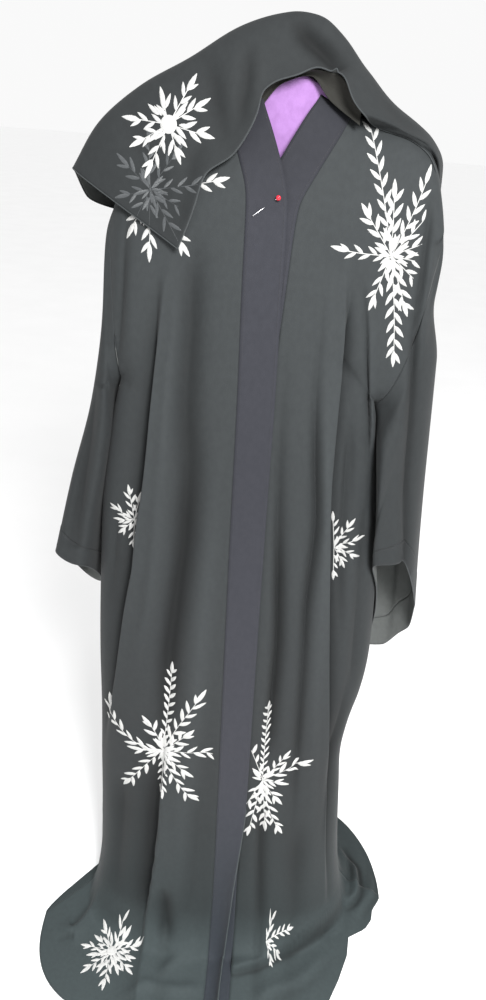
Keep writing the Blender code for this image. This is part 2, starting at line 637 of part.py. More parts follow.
def shawl_points(along, shares):
    front, crest, back = (np.array([row[i] for row in SHAWL], float) for i in range(3))
    steps = np.linalg.norm(np.diff(crest, axis=0), axis=1)
    keys = np.concatenate([[0], np.cumsum(steps)]) / steps.sum()
    front, crest, back = (through(keys, line, along) for line in (front, crest, back))
    fall = (crest * 2 + back) / 3
    fall[:, 1] = back[:, 1] * 0.78 + crest[:, 1] * 0.22
    rows = []
    for k in range(len(along)):
        rows.append(through((0, 0.38, 0.62, 1), (front[k], crest[k], fall[k], back[k]), shares))
    return np.array(rows)


def build_shawl(cloth):
    for name, start, end in SHAWL_STRETCHES:
        along = np.linspace(start, end, 13)
        grid = shawl_points(along, SHAWL_SHARES)
        trim(grid, first_row=SEAM_GAP if start else 0.0, last_row=SEAM_GAP if end < 1 else 0.0)
        loft(name, grid, CLOTH_WALL, cloth)


def build_hanger(wood, steel, cover):
    out = np.linspace(-HANGER_HALF_WIDTH, HANGER_HALF_WIDTH, 21)
    arms = [(x, 0.0, float(arm_top(x, -ARM_RADIUS))) for x in out]
    wire("hanger", arms, ARM_RADIUS, wood)
    middle = HANG_HEIGHT + HOOK_WIRE - HOOK_RADIUS
    foot = float(arm_top(0.0)) + SEAM_GAP
    turns = np.radians(np.linspace(-64, 196, 20))
    bend = [(HOOK_RADIUS * math.cos(a), 0.0, middle + HOOK_RADIUS * math.sin(a)) for a in turns]
    stem = [(0.0, 0.0, foot), (0.0, 0.0, foot + 0.012), (0.0008, 0.0, foot + 0.022)]
    wire("hanger_hook", stem + bend, HOOK_WIRE, steel)
    along = [row.along for row in COVER_SECTION]
    share = np.concatenate([np.linspace(0, 0.36, 4), np.linspace(0.42, 0.58, 7), np.linspace(0.64, 1, 4)])
    offset = through(along, [(row.y, row.drop) for row in COVER_SECTION], share)
    x = np.linspace(-COVER_HALF_WIDTH, COVER_HALF_WIDTH, 15)
    top = arm_top(x, CLOTH_WALL / 2 + COVER_LIFT)
    grid = np.empty((len(x), len(share), 3))
    grid[:, :, 0] = x[:, None]
    grid[:, :, 1] = offset[None, :, 0]
    grid[:, :, 2] = top[:, None] + offset[None, :, 1]
    wrap = loft("hanger_cover", grid, CLOTH_WALL, cover)
    hole = wire("stem_hole", [(0.0, 0.0, foot - 0.004), (0.0, 0.0, foot + 0.010)], HOOK_WIRE + COVER_LIFT, steel)
    cut(wrap, "Stem hole", "DIFFERENCE", hole)


def build_pin(red):
    """A ball-headed pin that lies on the upper front band, where it holds the two fronts together."""
    band = band_points(RIGHT_BAND_SEAM, RIGHT_BAND_EDGE, RIGHT, np.linspace(0.04, 0.16, 240), 60).reshape(-1, 3)
    head = np.array([-0.012, 0.0, 1.372])
    tip = np.array([-0.042, 0.0, 1.349])
    for point in (head, tip):
        under = np.hypot(band[:, 0] - point[0], band[:, 2] - point[2]).argmin()
        point[1] = band[under, 1] - BAND_WALL / 2 - 2 * SEAM_GAP - PIN_SHAFT
    head[1] -= PIN_HEAD - PIN_SHAFT
    mesh = bpy.data.meshes.new("pin")
    solid = bmesh.new()
    bmesh.ops.create_uvsphere(solid, u_segments=12, v_segments=8, radius=PIN_HEAD)
    solid.to_mesh(mesh)
    solid.free()
    mesh.materials.append(red)
    mesh.shade_smooth()
    pin = bpy.data.objects.new("pin", mesh)
    pin.location = head - (0, 0, HANG_HEIGHT)
    collection.objects.link(pin)
    shaft = wire("pin_shaft", [head, tip], PIN_SHAFT, red)
    cut(pin, "Shaft", "UNION", shaft)


# ---------------------------------------------------------------- the scene

for old in list(bpy.data.objects):
    bpy.data.objects.remove(old)
collection = bpy.data.collections.new("abaya_cloak")
bpy.context.scene.collection.children.link(collection)
helpers = bpy.data.collections.new("helpers")
bpy.context.scene.collection.children.link(helpers)

crepe = material("black_crepe", (0.030, 0.033, 0.034), 0.85)
band_crepe = material("band_crepe", (0.033, 0.036, 0.042), 0.80)
build_body(crepe)
build_bands(band_crepe)
build_sleeves(crepe, band_crepe)
build_neck_band(band_crepe)
build_shawl(crepe)
build_hanger(
    material("waxed_wood", (0.36, 0.22, 0.12), 0.5),
    material("steel_wire", (0.55, 0.55, 0.55), 0.3, 1.0),
    material("lilac_cloth", (0.62, 0.36, 0.75), 0.8),
)
build_pin(material("red_bead", (0.55, 0.03, 0.04), 0.25))
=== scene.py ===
"""A long open-front abaya cloak with its matching shawl: cloth, folds, embroidery and finishes.

Metres, +Z up, the front facing -Y. Heights in the tables are measured from the floor, as in the part's own
source, and HANG_HEIGHT takes them to the origin, the inside of the hook's top. "Right" and "left" are the
wearer's.

Each cloth is a fine grid of points on the same form as its solid, with its folds added from tables.
The embroidery is laid over these grids as they are seen from the front, or from above where they lie on the
floor.
"""

import math
from collections import namedtuple

import bmesh
import bpy
import numpy as np
from mathutils import Matrix, Vector, noise
from mathutils.bvhtree import BVHTree


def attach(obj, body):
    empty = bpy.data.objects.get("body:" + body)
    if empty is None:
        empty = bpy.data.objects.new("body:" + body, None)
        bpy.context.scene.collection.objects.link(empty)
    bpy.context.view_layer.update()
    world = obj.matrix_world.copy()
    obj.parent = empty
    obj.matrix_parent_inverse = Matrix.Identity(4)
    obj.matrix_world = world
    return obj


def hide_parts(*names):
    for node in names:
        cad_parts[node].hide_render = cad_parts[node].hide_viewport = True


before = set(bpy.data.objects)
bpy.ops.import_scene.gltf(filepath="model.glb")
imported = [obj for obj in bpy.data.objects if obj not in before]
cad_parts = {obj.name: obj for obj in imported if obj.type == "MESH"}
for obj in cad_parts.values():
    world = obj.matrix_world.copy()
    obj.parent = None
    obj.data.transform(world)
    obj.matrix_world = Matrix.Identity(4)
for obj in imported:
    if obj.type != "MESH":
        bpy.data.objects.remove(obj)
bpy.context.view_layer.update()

# ---------------------------------------------------------------- driving sizes

HANG_HEIGHT = 1.569
CLOTH_WALL = 0.0015  # of the solids
BAND_WALL = 0.0020
SEAM_GAP = 0.0003
COVER_LIFT = 0.0006
BAND_WIDTH = 0.052
SLEEVE_LENGTH = 0.50
CUFF_DEPTH = 0.045
ARMHOLE_END = 0.170
FLOOR_CLEARANCE = 0.0024
COVER_HALF_WIDTH = 0.150
PIN_HEAD = 0.0032
PIN_SHAFT = 0.0006

CLOTH = 0.0008  # thickness of the crepe
DOUBLED = 0.0017  # thickness of the bands, which are folded double

RIGHT = -1.0
LEFT = 1.0

# ---------------------------------------------------------------- tables

Station = namedtuple("Station", "down x y height")
Shape = namedtuple("Shape", "down square yoke")
Ring = namedtuple("Ring", "down square outer front inner back")
Drape = namedtuple("Drape", "front crest back")
Course = namedtuple("Course", "start end steps")
Rest = namedtuple("Rest", "out height")
Section = namedtuple("Section", "along y drop")
Neck = namedtuple("Neck", "along out y rise")
Drop = namedtuple("Drop", "along out fall")


def rows_of(kind, *rows):
    """A table whose rows are all of one kind."""
    return tuple(kind(*row) for row in rows)


# The upper side of the hanger's arms, out from the middle.
HANGER_TOP = rows_of(
    Rest,
    (0.000, 1.5000),
    (0.030, 1.4880),
    (0.070, 1.4690),
    (0.110, 1.4580),
    (0.145, 1.4440),
    (0.175, 1.4200),
    (0.200, 1.3920),
)
# The hanger's cloth cover, as one section from its front hem over the arm to its back hem.
COVER_SECTION = rows_of(
    Section,
    (0.00, -0.0240, -0.1150),
    (0.22, -0.0160, -0.0600),
    (0.38, -0.0090, -0.0200),
    (0.43, -0.0072, -0.0070),
    (0.46, -0.0052, -0.0018),
    (0.50, 0.0000, 0.0000),
    (0.54, 0.0052, -0.0018),
    (0.57, 0.0072, -0.0070),
    (0.62, 0.0090, -0.0200),
    (0.78, 0.0150, -0.0600),
    (1.00, 0.0200, -0.1000),
)
# The seam between each front and its band, from the neck point down to the hem on the floor.
RIGHT_BAND_SEAM = rows_of(
    Station,
    (0.000, -0.090, 0.000, 1.4676),
    (0.004, -0.0885, -0.0070, 1.4665),
    (0.008, -0.086, -0.0125, 1.4630),
    (0.024, -0.078, -0.029, 1.4440),
    (0.045, -0.066, -0.047, 1.4160),
    (0.077, -0.052, -0.061, 1.3700),
    (0.145, -0.049, -0.072, 1.2600),
    (0.243, -0.044, -0.080, 1.1000),
    (0.335, -0.041, -0.084, 0.9500),
    (0.488, -0.035, -0.090, 0.7000),
    (0.672, -0.027, -0.100, 0.4000),
    (0.825, -0.021, -0.114, 0.1500),
    (0.865, -0.020, -0.124, 0.0860),
    (0.895, -0.020, -0.142, 0.0380),
    (0.920, -0.020, -0.170, 0.0100),
    (1.000, -0.024, -0.300, 0.0085),
)
LEFT_BAND_SEAM = rows_of(
    Station,
    (0.000, 0.074, 0.000, 1.4726),
    (0.004, 0.0725, -0.0070, 1.4715),
    (0.008, 0.070, -0.0125, 1.4675),
    (0.024, 0.059, -0.028, 1.4470),
    (0.055, 0.030, -0.047, 1.3950),
    (0.077, 0.014, -0.056, 1.3610),
    (0.145, 0.008, -0.068, 1.2600),
    (0.243, 0.001, -0.076, 1.1000),
    (0.335, -0.001, -0.080, 0.9500),
    (0.488, 0.007, -0.086, 0.7000),
    (0.672, 0.017, -0.096, 0.4000),
    (0.825, 0.023, -0.109, 0.1500),
    (0.865, 0.025, -0.119, 0.0840),
    (0.895, 0.026, -0.137, 0.0330),
    (0.920, 0.026, -0.165, 0.0050),
    (1.000, 0.022, -0.290, 0.0040),
)
# The free edges of the two front bands, down to where each runs straight beside its seam.
RIGHT_BAND_EDGE = rows_of(
    Station,
    (0.000, -0.043, 0.000, 1.4875),
    (0.008, -0.042, -0.0110, 1.4840),
    (0.024, -0.036, -0.024, 1.4690),
    (0.045, -0.021, -0.040, 1.4350),
    (0.077, -0.001, -0.060, 1.3740),
    (0.100, 0.002, -0.064, 1.3370),
)
LEFT_BAND_EDGE = rows_of(
    Station,
    (0.000, 0.030, 0.000, 1.4915),
    (0.008, 0.029, -0.0110, 1.4880),
    (0.024, 0.017, -0.024, 1.4700),
    (0.055, -0.014, -0.040, 1.4140),
    (0.077, -0.034, -0.052, 1.3700),
    (0.100, -0.040, -0.059, 1.3320),
)
NECK_BAND_EDGE = rows_of(
    Station,
    (-1.00, -0.043, 0.000, 1.4875),
    (-0.50, -0.032, 0.014, 1.5020),
    (0.00, -0.008, 0.0195, 1.5100),
    (0.50, 0.018, 0.014, 1.5040),
    (1.00, 0.030, 0.000, 1.4915),
)
BACK_MIDDLE = rows_of(
    Station,
    (0.000, -0.008, 0.036, 1.4560),
    (0.008, -0.008, 0.040, 1.4470),
    (0.030, -0.007, 0.050, 1.4150),
    (0.077, -0.006, 0.060, 1.3500),
    (0.170, -0.004, 0.070, 1.2000),
    (0.335, 0.000, 0.082, 0.9500),
    (0.488, 0.002, 0.096, 0.7000),
    (0.672, 0.005, 0.118, 0.4000),
    (0.825, 0.010, 0.140, 0.1500),
    (0.890, 0.015, 0.155, 0.0460),
    (0.925, 0.020, 0.190, 0.0060),
    (1.000, 0.040, 0.270, 0.0040),
)
# The side seams, from the end of the armhole down.
RIGHT_SIDE_SEAM = rows_of(
    Station,
    (0.170, -0.212, 0.000, 1.1080),
    (0.205, -0.224, 0.003, 1.0640),
    (0.243, -0.232, 0.005, 1.0200),
    (0.335, -0.245, 0.009, 0.9000),
    (0.488, -0.250, 0.012, 0.6800),
    (0.672, -0.252, 0.012, 0.3950),
    (0.825, -0.254, 0.008, 0.1500),
    (0.890, -0.264, -0.004, 0.0460),
    (0.925, -0.278, -0.018, 0.0060),
    (1.000, -0.352, -0.090, 0.0040),
)
LEFT_SIDE_SEAM = rows_of(
    Station,
    (0.170, 0.148, 0.000, 1.1080),
    (0.205, 0.162, 0.003, 1.0640),
    (0.243, 0.176, 0.006, 1.0200),
    (0.335, 0.194, 0.010, 0.9000),
    (0.440, 0.209, 0.014, 0.7500),
    (0.510, 0.216, 0.016, 0.6400),
    (0.550, 0.213, 0.016, 0.5850),
    (0.595, 0.199, 0.017, 0.5150),
    (0.640, 0.193, 0.018, 0.4450),
    (0.710, 0.203, 0.020, 0.3350),
    (0.825, 0.224, 0.024, 0.1500),
    (0.890, 0.244, 0.026, 0.0460),
    (0.925, 0.272, 0.028, 0.0060),
    (1.000, 0.332, 0.006, 0.0040),
)
# How square each section turns from its flat part to the side, and how much of the shoulders' line it keeps.
FRONT_SHAPE = rows_of(
    Shape,
    (0.000, 2.0, 1.00),
    (0.045, 2.6, 0.96),
    (0.100, 3.2, 0.66),
    (0.170, 3.4, 0.24),
    (0.243, 3.4, 0.00),
    (0.672, 3.2, 0.00),
    (0.890, 2.8, 0.00),
    (1.000, 2.8, 0.00),
)
FRONT_LEFT_SHAPE = rows_of(
    Shape,
    (0.000, 2.0, 1.00),
    (0.045, 2.3, 0.96),
    (0.100, 1.9, 0.66),
    (0.140, 1.9, 0.40),
    (0.170, 2.2, 0.24),
    (0.243, 2.2, 0.00),
    (0.440, 2.4, 0.00),
    (0.672, 3.2, 0.00),
    (0.890, 2.6, 0.00),
    (0.925, 2.0, 0.00),
    (1.000, 1.55, 0.00),
)
BACK_RIGHT_SHAPE = FRONT_SHAPE[:-2] + rows_of(
    Shape,
    (0.890, 2.4, 0.00),
    (0.925, 1.6, 0.00),
    (1.000, 1.2, 0.00),
)
BACK_LEFT_SHAPE = FRONT_SHAPE[:-2] + rows_of(Shape, (0.890, 2.6, 0.00), (1.000, 2.3, 0.00))
# Where a panel's upper edge leaves the hanger's arm, and how it drops from there to the top of the armhole.
ARM_END = 0.190
DROP = rows_of(
    Drop,
    (0.00, 0.00, 0.00),
    (0.25, 0.34, 0.24),
    (0.60, 0.76, 0.62),
    (1.00, 1.00, 1.00),
)
# The back neckline, as shares of the way from the middle of the back to the neck point.
NECKLINE = rows_of(
    Neck,
    (0.00, 0.00, 1.00, 0.00),
    (0.50, 0.52, 0.86, 0.25),
    (0.85, 0.88, 0.28, 0.92),
    (1.00, 1.00, 0.00, 1.00),
)
# Sleeve rings as four points, each (x, y, height): outer edge, front, inner edge by the body, back. The
# armhole is a sleeve's first ring.
RIGHT_ARMHOLE = Ring(
    0.0, 2.0, (-0.228, 0.000, 1.335), (-0.222, -0.050, 1.222), (-0.212, 0.000, 1.108), (-0.222, 0.050, 1.222),
)
LEFT_ARMHOLE = Ring(
    0.0, 5.0, (0.214, 0.000, 1.335), (0.194, -0.058, 1.222), (0.148, 0.000, 1.108), (0.190, 0.050, 1.222),
)
RIGHT_SLEEVE = rows_of(
    Ring,
    (0.05, 2.0, (-0.234, 0.000, 1.312), (-0.232, -0.054, 1.204),
     (-0.224, -0.002, 1.088), (-0.231, 0.054, 1.204)),
    (0.22, 2.2, (-0.238, 0.004, 1.220), (-0.236, -0.052, 1.130),
     (-0.2250, -0.016, 1.040), (-0.236, 0.062, 1.120)),
    (0.48, 2.4, (-0.258, 0.010, 1.080), (-0.250, -0.052, 1.020),
     (-0.2360, -0.018, 0.962), (-0.251, 0.074, 1.000)),
    (0.74, 2.8, (-0.288, 0.012, 0.940), (-0.274, -0.054, 0.920),
     (-0.2470, -0.018, 0.884), (-0.269, 0.082, 0.850)),
    (1.00, 3.2, (-0.314, 0.006, 0.791), (-0.294, -0.056, 0.816),
     (-0.259, -0.014, 0.776), (-0.283, 0.084, 0.696)),
)
LEFT_SLEEVE = rows_of(
    Ring,
    (0.05, 5.0, (0.221, 0.003, 1.312), (0.199, -0.062, 1.206),
     (0.1560, -0.010, 1.088), (0.200, 0.054, 1.204)),
    (0.22, 4.0, (0.230, 0.016, 1.225), (0.192, -0.066, 1.140),
     (0.1640, -0.034, 1.040), (0.208, 0.062, 1.110)),
    (0.48, 3.4, (0.248, 0.022, 1.080), (0.196, -0.072, 1.040),
     (0.1750, -0.042, 0.960), (0.222, 0.072, 0.950)),
    (0.74, 3.2, (0.268, 0.022, 0.920), (0.204, -0.076, 0.958),
     (0.1850, -0.040, 0.860), (0.236, 0.078, 0.780)),
    (1.00, 4.0, (0.290, 0.020, 0.748), (0.211, -0.080, 0.870),
     (0.2030, -0.030, 0.745), (0.258, 0.082, 0.612)),
)
# The shawl, as sections from its front edge over the crest to its back edge, each point (x, y, height).
SHAWL = rows_of(
    Drape,
    ((-0.133, -0.078, 1.304), (-0.279, -0.012, 1.384), (-0.196, 0.086, 1.320)),
    ((-0.116, -0.075, 1.352), (-0.246, -0.010, 1.438), (-0.192, 0.098, 1.256)),
    ((-0.104, -0.068, 1.391), (-0.194, 0.000, 1.484), (-0.164, 0.102, 1.180)),
    ((-0.070, -0.062, 1.418), (-0.134, 0.000, 1.518), (-0.118, 0.100, 1.156)),
    ((-0.046, -0.050, 1.464), (-0.074, 0.000, 1.555), (-0.070, 0.098, 1.142)),
    ((-0.042, -0.040, 1.485), (-0.036, 0.000, 1.569), (-0.040, 0.096, 1.138)),
    ((-0.026, -0.035, 1.499), (-0.006, 0.000, 1.5752), (-0.010, 0.096, 1.136)),
    ((-0.002, -0.033, 1.507), (0.020, 0.001, 1.5722), (0.020, 0.096, 1.134)),
    ((0.022, -0.031, 1.518), (0.050, 0.004, 1.554), (0.048, 0.098, 1.133)),
    ((0.046, -0.034, 1.521), (0.082, 0.006, 1.522), (0.080, 0.098, 1.132)),
    ((0.068, -0.049, 1.483), (0.124, 0.008, 1.486), (0.114, 0.100, 1.130)),
    ((0.104, -0.052, 1.458), (0.158, 0.012, 1.466), (0.146, 0.104, 1.128)),
    ((0.144, -0.050, 1.449), (0.184, 0.022, 1.448), (0.176, 0.108, 1.128)),
    ((0.176, -0.036, 1.428), (0.214, 0.040, 1.414), (0.202, 0.114, 1.130)),
    ((0.226, 0.046, 1.306), (0.232, 0.084, 1.270), (0.214, 0.120, 1.134)),
)


# ---------------------------------------------------------------- surfaces


def through(keys, values, at):
    """A smooth curve through the values that never swings past them, read at the places asked for."""
    keys = np.asarray(keys, float)
    values = np.asarray(values, float)
    flat = values.ndim == 1
    values = values.reshape(len(keys), -1)
    at = np.clip(np.asarray(at, float), keys[0], keys[-1])
    rise = np.diff(values, axis=0) / np.diff(keys)[:, None]
    before, after = rise[:-1], rise[1:]
    same_way = before * after > 0
    inner = np.where(same_way, 2 * before * after / np.where(same_way, before + after, 1.0), 0.0)
    slopes = np.concatenate([rise[:1], inner, rise[-1:]])
    i = np.clip(np.searchsorted(keys, at, side="right") - 1, 0, len(keys) - 2)
    span = (keys[i + 1] - keys[i])[..., None]
    t = (at - keys[i])[..., None] / span
    start = (1 + 2 * t) * (1 - t) ** 2 * values[i] + t * (1 - t) ** 2 * span * slopes[i]
    end = t**2 * (3 - 2 * t) * values[i + 1] + t**2 * (t - 1) * span * slopes[i + 1]
    return (start + end)[..., 0] if flat else start + end


def smooth_step(share):
    """A share from 0 to 1, made to start and to end gently."""
    return share**2 * (3 - 2 * share)


def ramped(value, start, end):
    """0 up to the start, 1 from the end on and even between. The end may be the lower value."""
    return np.clip((value - start) / (end - start), 0, 1)


def unit(vectors):
    """The vectors, each at length one."""
    return vectors / (np.linalg.norm(vectors, axis=-1, keepdims=True) + 1e-12)


def place(table, at):
    """Points of a table of stations, at the given shares of its length."""
    return through([row[0] for row in table], [row[1:4] for row in table], at)


def courses(table):
    """Places along a length, divided stretch by stretch."""
    runs = [np.linspace(c.start, c.end, c.steps, endpoint=False) for c in table]
    return np.concatenate(runs + [[table[-1].end]])


def ring_points(square, corners, angle):
    """Points of a closed ring that passes its four named points: outer at 0, front at -90 degrees."""
    outer, front, inner, back = (np.asarray(p, float) for p in corners)
    middle = (outer + front + inner + back) / 4
    twist = (outer + inner - front - back) / 4
    turn = np.asarray(angle)[..., None]
    side = np.sign(np.cos(turn)) * np.abs(np.cos(turn)) ** (2 / square)
    depth = np.sign(np.sin(turn)) * np.abs(np.sin(turn)) ** (2 / square)
    return middle + (outer - inner) / 2 * side + (back - front) / 2 * depth + twist * (side**2 - depth**2)


def sleeve_points(table, down, angle):
    """A sleeve's rings of evenly spaced points, at the given shares of its length."""
    keys = [row.down for row in table]
    square = through(keys, [row.square for row in table], down)
    corners = [through(keys, [row[i] for row in table], down) for i in range(2, 6)]
    rings = []
    for k in range(len(down)):
        ring = ring_points(square[k], [corner[k] for corner in corners], angle)
        closed = np.concatenate([ring, ring[:1]])
        rings.append(even(closed, SIDES + 1)[:-1])
    return np.array(rings)


def outer_edge(side, face, down):
    """A panel's outer edge: half of the armhole's ring, then the side seam. face is -1 on a front."""
    ring, seam = (RIGHT_ARMHOLE, RIGHT_SIDE_SEAM) if side == RIGHT else (LEFT_ARMHOLE, LEFT_SIDE_SEAM)
    along = np.clip(down / ARMHOLE_END, 0, 1)
    armhole = ring_points(ring.square, ring[2:], face * math.pi * along)
    return np.where((down < ARMHOLE_END)[:, None], armhole, place(seam, down))


def even(points, count):
    """The same line with its points an equal distance apart."""
    steps = np.linalg.norm(np.diff(points, axis=0), axis=1)
    length = np.concatenate([[0], np.cumsum(steps)])
    wanted = np.linspace(0, length[-1], count)
    return np.stack([np.interp(wanted, length, points[:, i]) for i in range(3)], axis=1)


def arm_top(out, above=0.0):
    """The height of the hanger's upper side, or of a layer that lies a distance above it."""
    keys = [row.out for row in HANGER_TOP]
    heights = [row.height for row in HANGER_TOP]
    out = np.abs(out)
    step = 0.001
    slope = (through(keys, heights, out + step) - through(keys, heights, np.abs(out - step))) / (2 * step)
    return through(keys, heights, out) + above * np.sqrt(1 + slope**2)


def shoulder_line(side, start):
    """The upper edge of a panel from its neck point, out on the arm, over its end and down to the armhole."""
    armhole = RIGHT_ARMHOLE if side == RIGHT else LEFT_ARMHOLE
    out = np.linspace(abs(start.x), ARM_END, 40)
    height = arm_top(out, COVER_LIFT + 1.5 * CLOTH_WALL + 1.5 * SEAM_GAP)
    height += (start.height - height[0]) * np.clip(1 - (out - out[0]) / 0.02, 0, 1)
    on_arm = np.stack([out * side, np.zeros_like(out), height], axis=1)
    share = through([row.along for row in DROP], [row[1:] for row in DROP], np.linspace(0, 1, 24))
    leave = on_arm[-1]
    drop = leave + (np.array(armhole.outer) - leave) * share[:, [0, 0, 1]]
    return np.concatenate([on_arm[:-1], drop])


def neckline(point, count):
    """The back neckline, from the middle of the back to a neck point."""
    share = through([row.along for row in NECKLINE], [row[1:] for row in NECKLINE], np.linspace(0, 1, count))
    middle = BACK_MIDDLE[0]
    x = middle.x + (point.x - middle.x) * share[:, 0]
    height = middle.height + (point.height - middle.height) * share[:, 2]
    return np.stack([x, middle.y * share[:, 1], height], axis=1)


def crest_bend(line, count):
    """How far the upper edge leaves the straight line between its ends."""
    line = even(line, count)
    share = np.linspace(0, 1, count)[:, None]
    return line - (line[0] + share * (line[-1] - line[0]))


def across(inner, outer, square, bend, count, flow=0.0):
    """One section: from the inner edge square across the panel, then round to the outer edge.

    flow lets it run on level, without that turn, where the cloth goes on into a sleeve."""
    turn = np.linspace(0, math.pi / 2, 500)
    reach = np.sin(turn) ** (2 / square)
    hold = np.cos(turn) ** (2 / square) * (1 - flow) + (1 - reach**3) * flow
    points = np.empty((len(turn), 3))
    points[:, 0] = inner[0] + (outer[0] - inner[0]) * reach
    points[:, 1] = outer[1] + (inner[1] - outer[1]) * hold
    run = np.hypot(points[:, 0] - inner[0], points[:, 1] - inner[1])
    points[:, 2] = inner[2] + (outer[2] - inner[2]) * run / run[-1]
    return even(points, count) + bend


def panel_base(middle, crest, shape, side, face, down, columns, flow=None):
    """A panel's grid without folds, from its inner edge to its outer edge."""
    bend = crest_bend(crest, columns)
    inner = place(middle, down)
    outer = outer_edge(side, face, down)
    keys = [row.down for row in shape]
    square = through(keys, [row.square for row in shape], down)
    yoke = through(keys, [row.yoke for row in shape], down)
    rows = [
        across(inner[k], outer[k], square[k], yoke[k] * bend, columns, 0.0 if flow is None else flow[k])
        for k in range(len(down))
    ]
    return np.array(rows)


def normals_of(grid, inside):
    """Unit normals of a grid of points, turned away from the middle line of the body."""
    return unit(np.cross(np.gradient(grid, axis=1), np.gradient(grid, axis=0))) * inside


def settle(grid):
    """Keeps the cloth just above the floor."""
    grid[..., 2] = np.maximum(grid[..., 2], FLOOR_CLEARANCE)
    return grid


def band_points(seam, edge, side, down, columns):
    """A front band: from its seam to its free edge, square to the seam and level with the cloth."""
    line = place(seam, down)
    run = unit(np.gradient(line, down, axis=0))
    to_middle = np.array([-side, 0.0, 0.0])
    aside = unit(to_middle - run * (run @ to_middle)[:, None])
    straight = ramped(down, edge[-2].down, edge[-1].down)[:, None]
    free = place(edge, down) * (1 - straight) + (line + aside * BAND_WIDTH) * straight
    return between(line, free, columns)


def between(first, last, columns):
    """A grid that runs straight from one line to another."""
    share = np.linspace(0, 1, columns)[None, :, None]
    return first[:, None] * (1 - share) + last[:, None] * share


# Where the shawl turns down behind its crest, as a share of the way back to its back edge.
SHAWL_FALL_Y = 0.78
# Where its front edge, the crest, that turn and the back edge lie along a section.
SHAWL_KEYS = (0, 0.38, 0.58, 1)


def shawl_points(along, shares):
    """The shawl's grid, in sections from its front edge to its back edge."""
    front, crest, back = (np.array([row[i] for row in SHAWL], float) for i in range(3))
    steps = np.linalg.norm(np.diff(crest, axis=0), axis=1)
    keys = np.concatenate([[0], np.cumsum(steps)]) / steps.sum()
    fall = (crest * 2 + back) / 3
    fall[:, 1] = back[:, 1] * SHAWL_FALL_Y + crest[:, 1] * (1 - SHAWL_FALL_Y)
    fall[0] = SHAWL_END_FALL
    front, crest, fall, back = (through(keys, line, along) for line in (front, crest, fall, back))
    rows = []
    for k in range(len(along)):
        rows.append(through(SHAWL_KEYS, (front[k], crest[k], fall[k], back[k]), shares))
    return np.array(rows)


# ---------------------------------------------------------------- folds added to the form

Crease = namedtuple("Crease", "inner outer depth sharp path")
Pleat = namedtuple("Pleat", "over lip lip_width depth depth_width tuck path")
Ripple = namedtuple("Ripple", "inner outer height path")

# Each path is (x, height, share of the depth) from its top to its bottom. inner and outer are a crease's
# widths towards the middle and away, and a negative depth makes a ridge.
RIGHT_CREASES = rows_of(
    Crease,
    (0.021, 0.017, 0.019, 1.8, (
        (-0.117, 1.30, 0), (-0.115, 1.20, 0.6), (-0.116, 1.08, 0.7), (-0.108, 0.98, 0.8), (-0.109, 0.885, 1),
        (-0.117, 0.775, 1), (-0.126, 0.656, 1), (-0.127, 0.56, 0.7), (-0.127, 0.46, 0),
    )),
    (0.012, 0.010, -0.004, 2.0, (
        (-0.135, 1.24, 0), (-0.143, 1.08, 1), (-0.152, 0.90, 1), (-0.160, 0.77, 0.8), (-0.19, 0.60, 0),
    )),
    (0.022, 0.022, -0.006, 2.0, (
        (-0.066, 1.05, 0), (-0.072, 0.70, 1), (-0.086, 0.40, 1), (-0.100, 0.12, 0.6), (-0.110, 0.05, 0),
    )),
    (0.010, 0.012, 0.010, 1.6, (
        (-0.042, 0.58, 0), (-0.036, 0.44, 0.8), (-0.034, 0.28, 1), (-0.034, 0.17, 1), (-0.032, 0.05, 0.6),
    )),
    (0.010, 0.010, 0.005, 1.6, ((-0.215, 0.95, 0), (-0.221, 0.84, 1), (-0.228, 0.72, 0))),
    (0.020, 0.020, 0.008, 1.8, ((-0.200, 0.40, 0), (-0.205, 0.30, 1), (-0.212, 0.15, 0.8), (-0.22, 0.05, 0))),
    (0.007, 0.007, 0.005, 1.6, (
        (-0.062, 0.40, 0), (-0.060, 0.28, 0.7), (-0.062, 0.14, 0.7), (-0.070, 0.05, 0),
    )),
    (0.015, 0.011, 0.018, 1.8, (
        (-0.114, 0.14, 0), (-0.112, 0.095, 0.7), (-0.109, 0.05, 1), (-0.106, 0.02, 0.3),
    )),
)
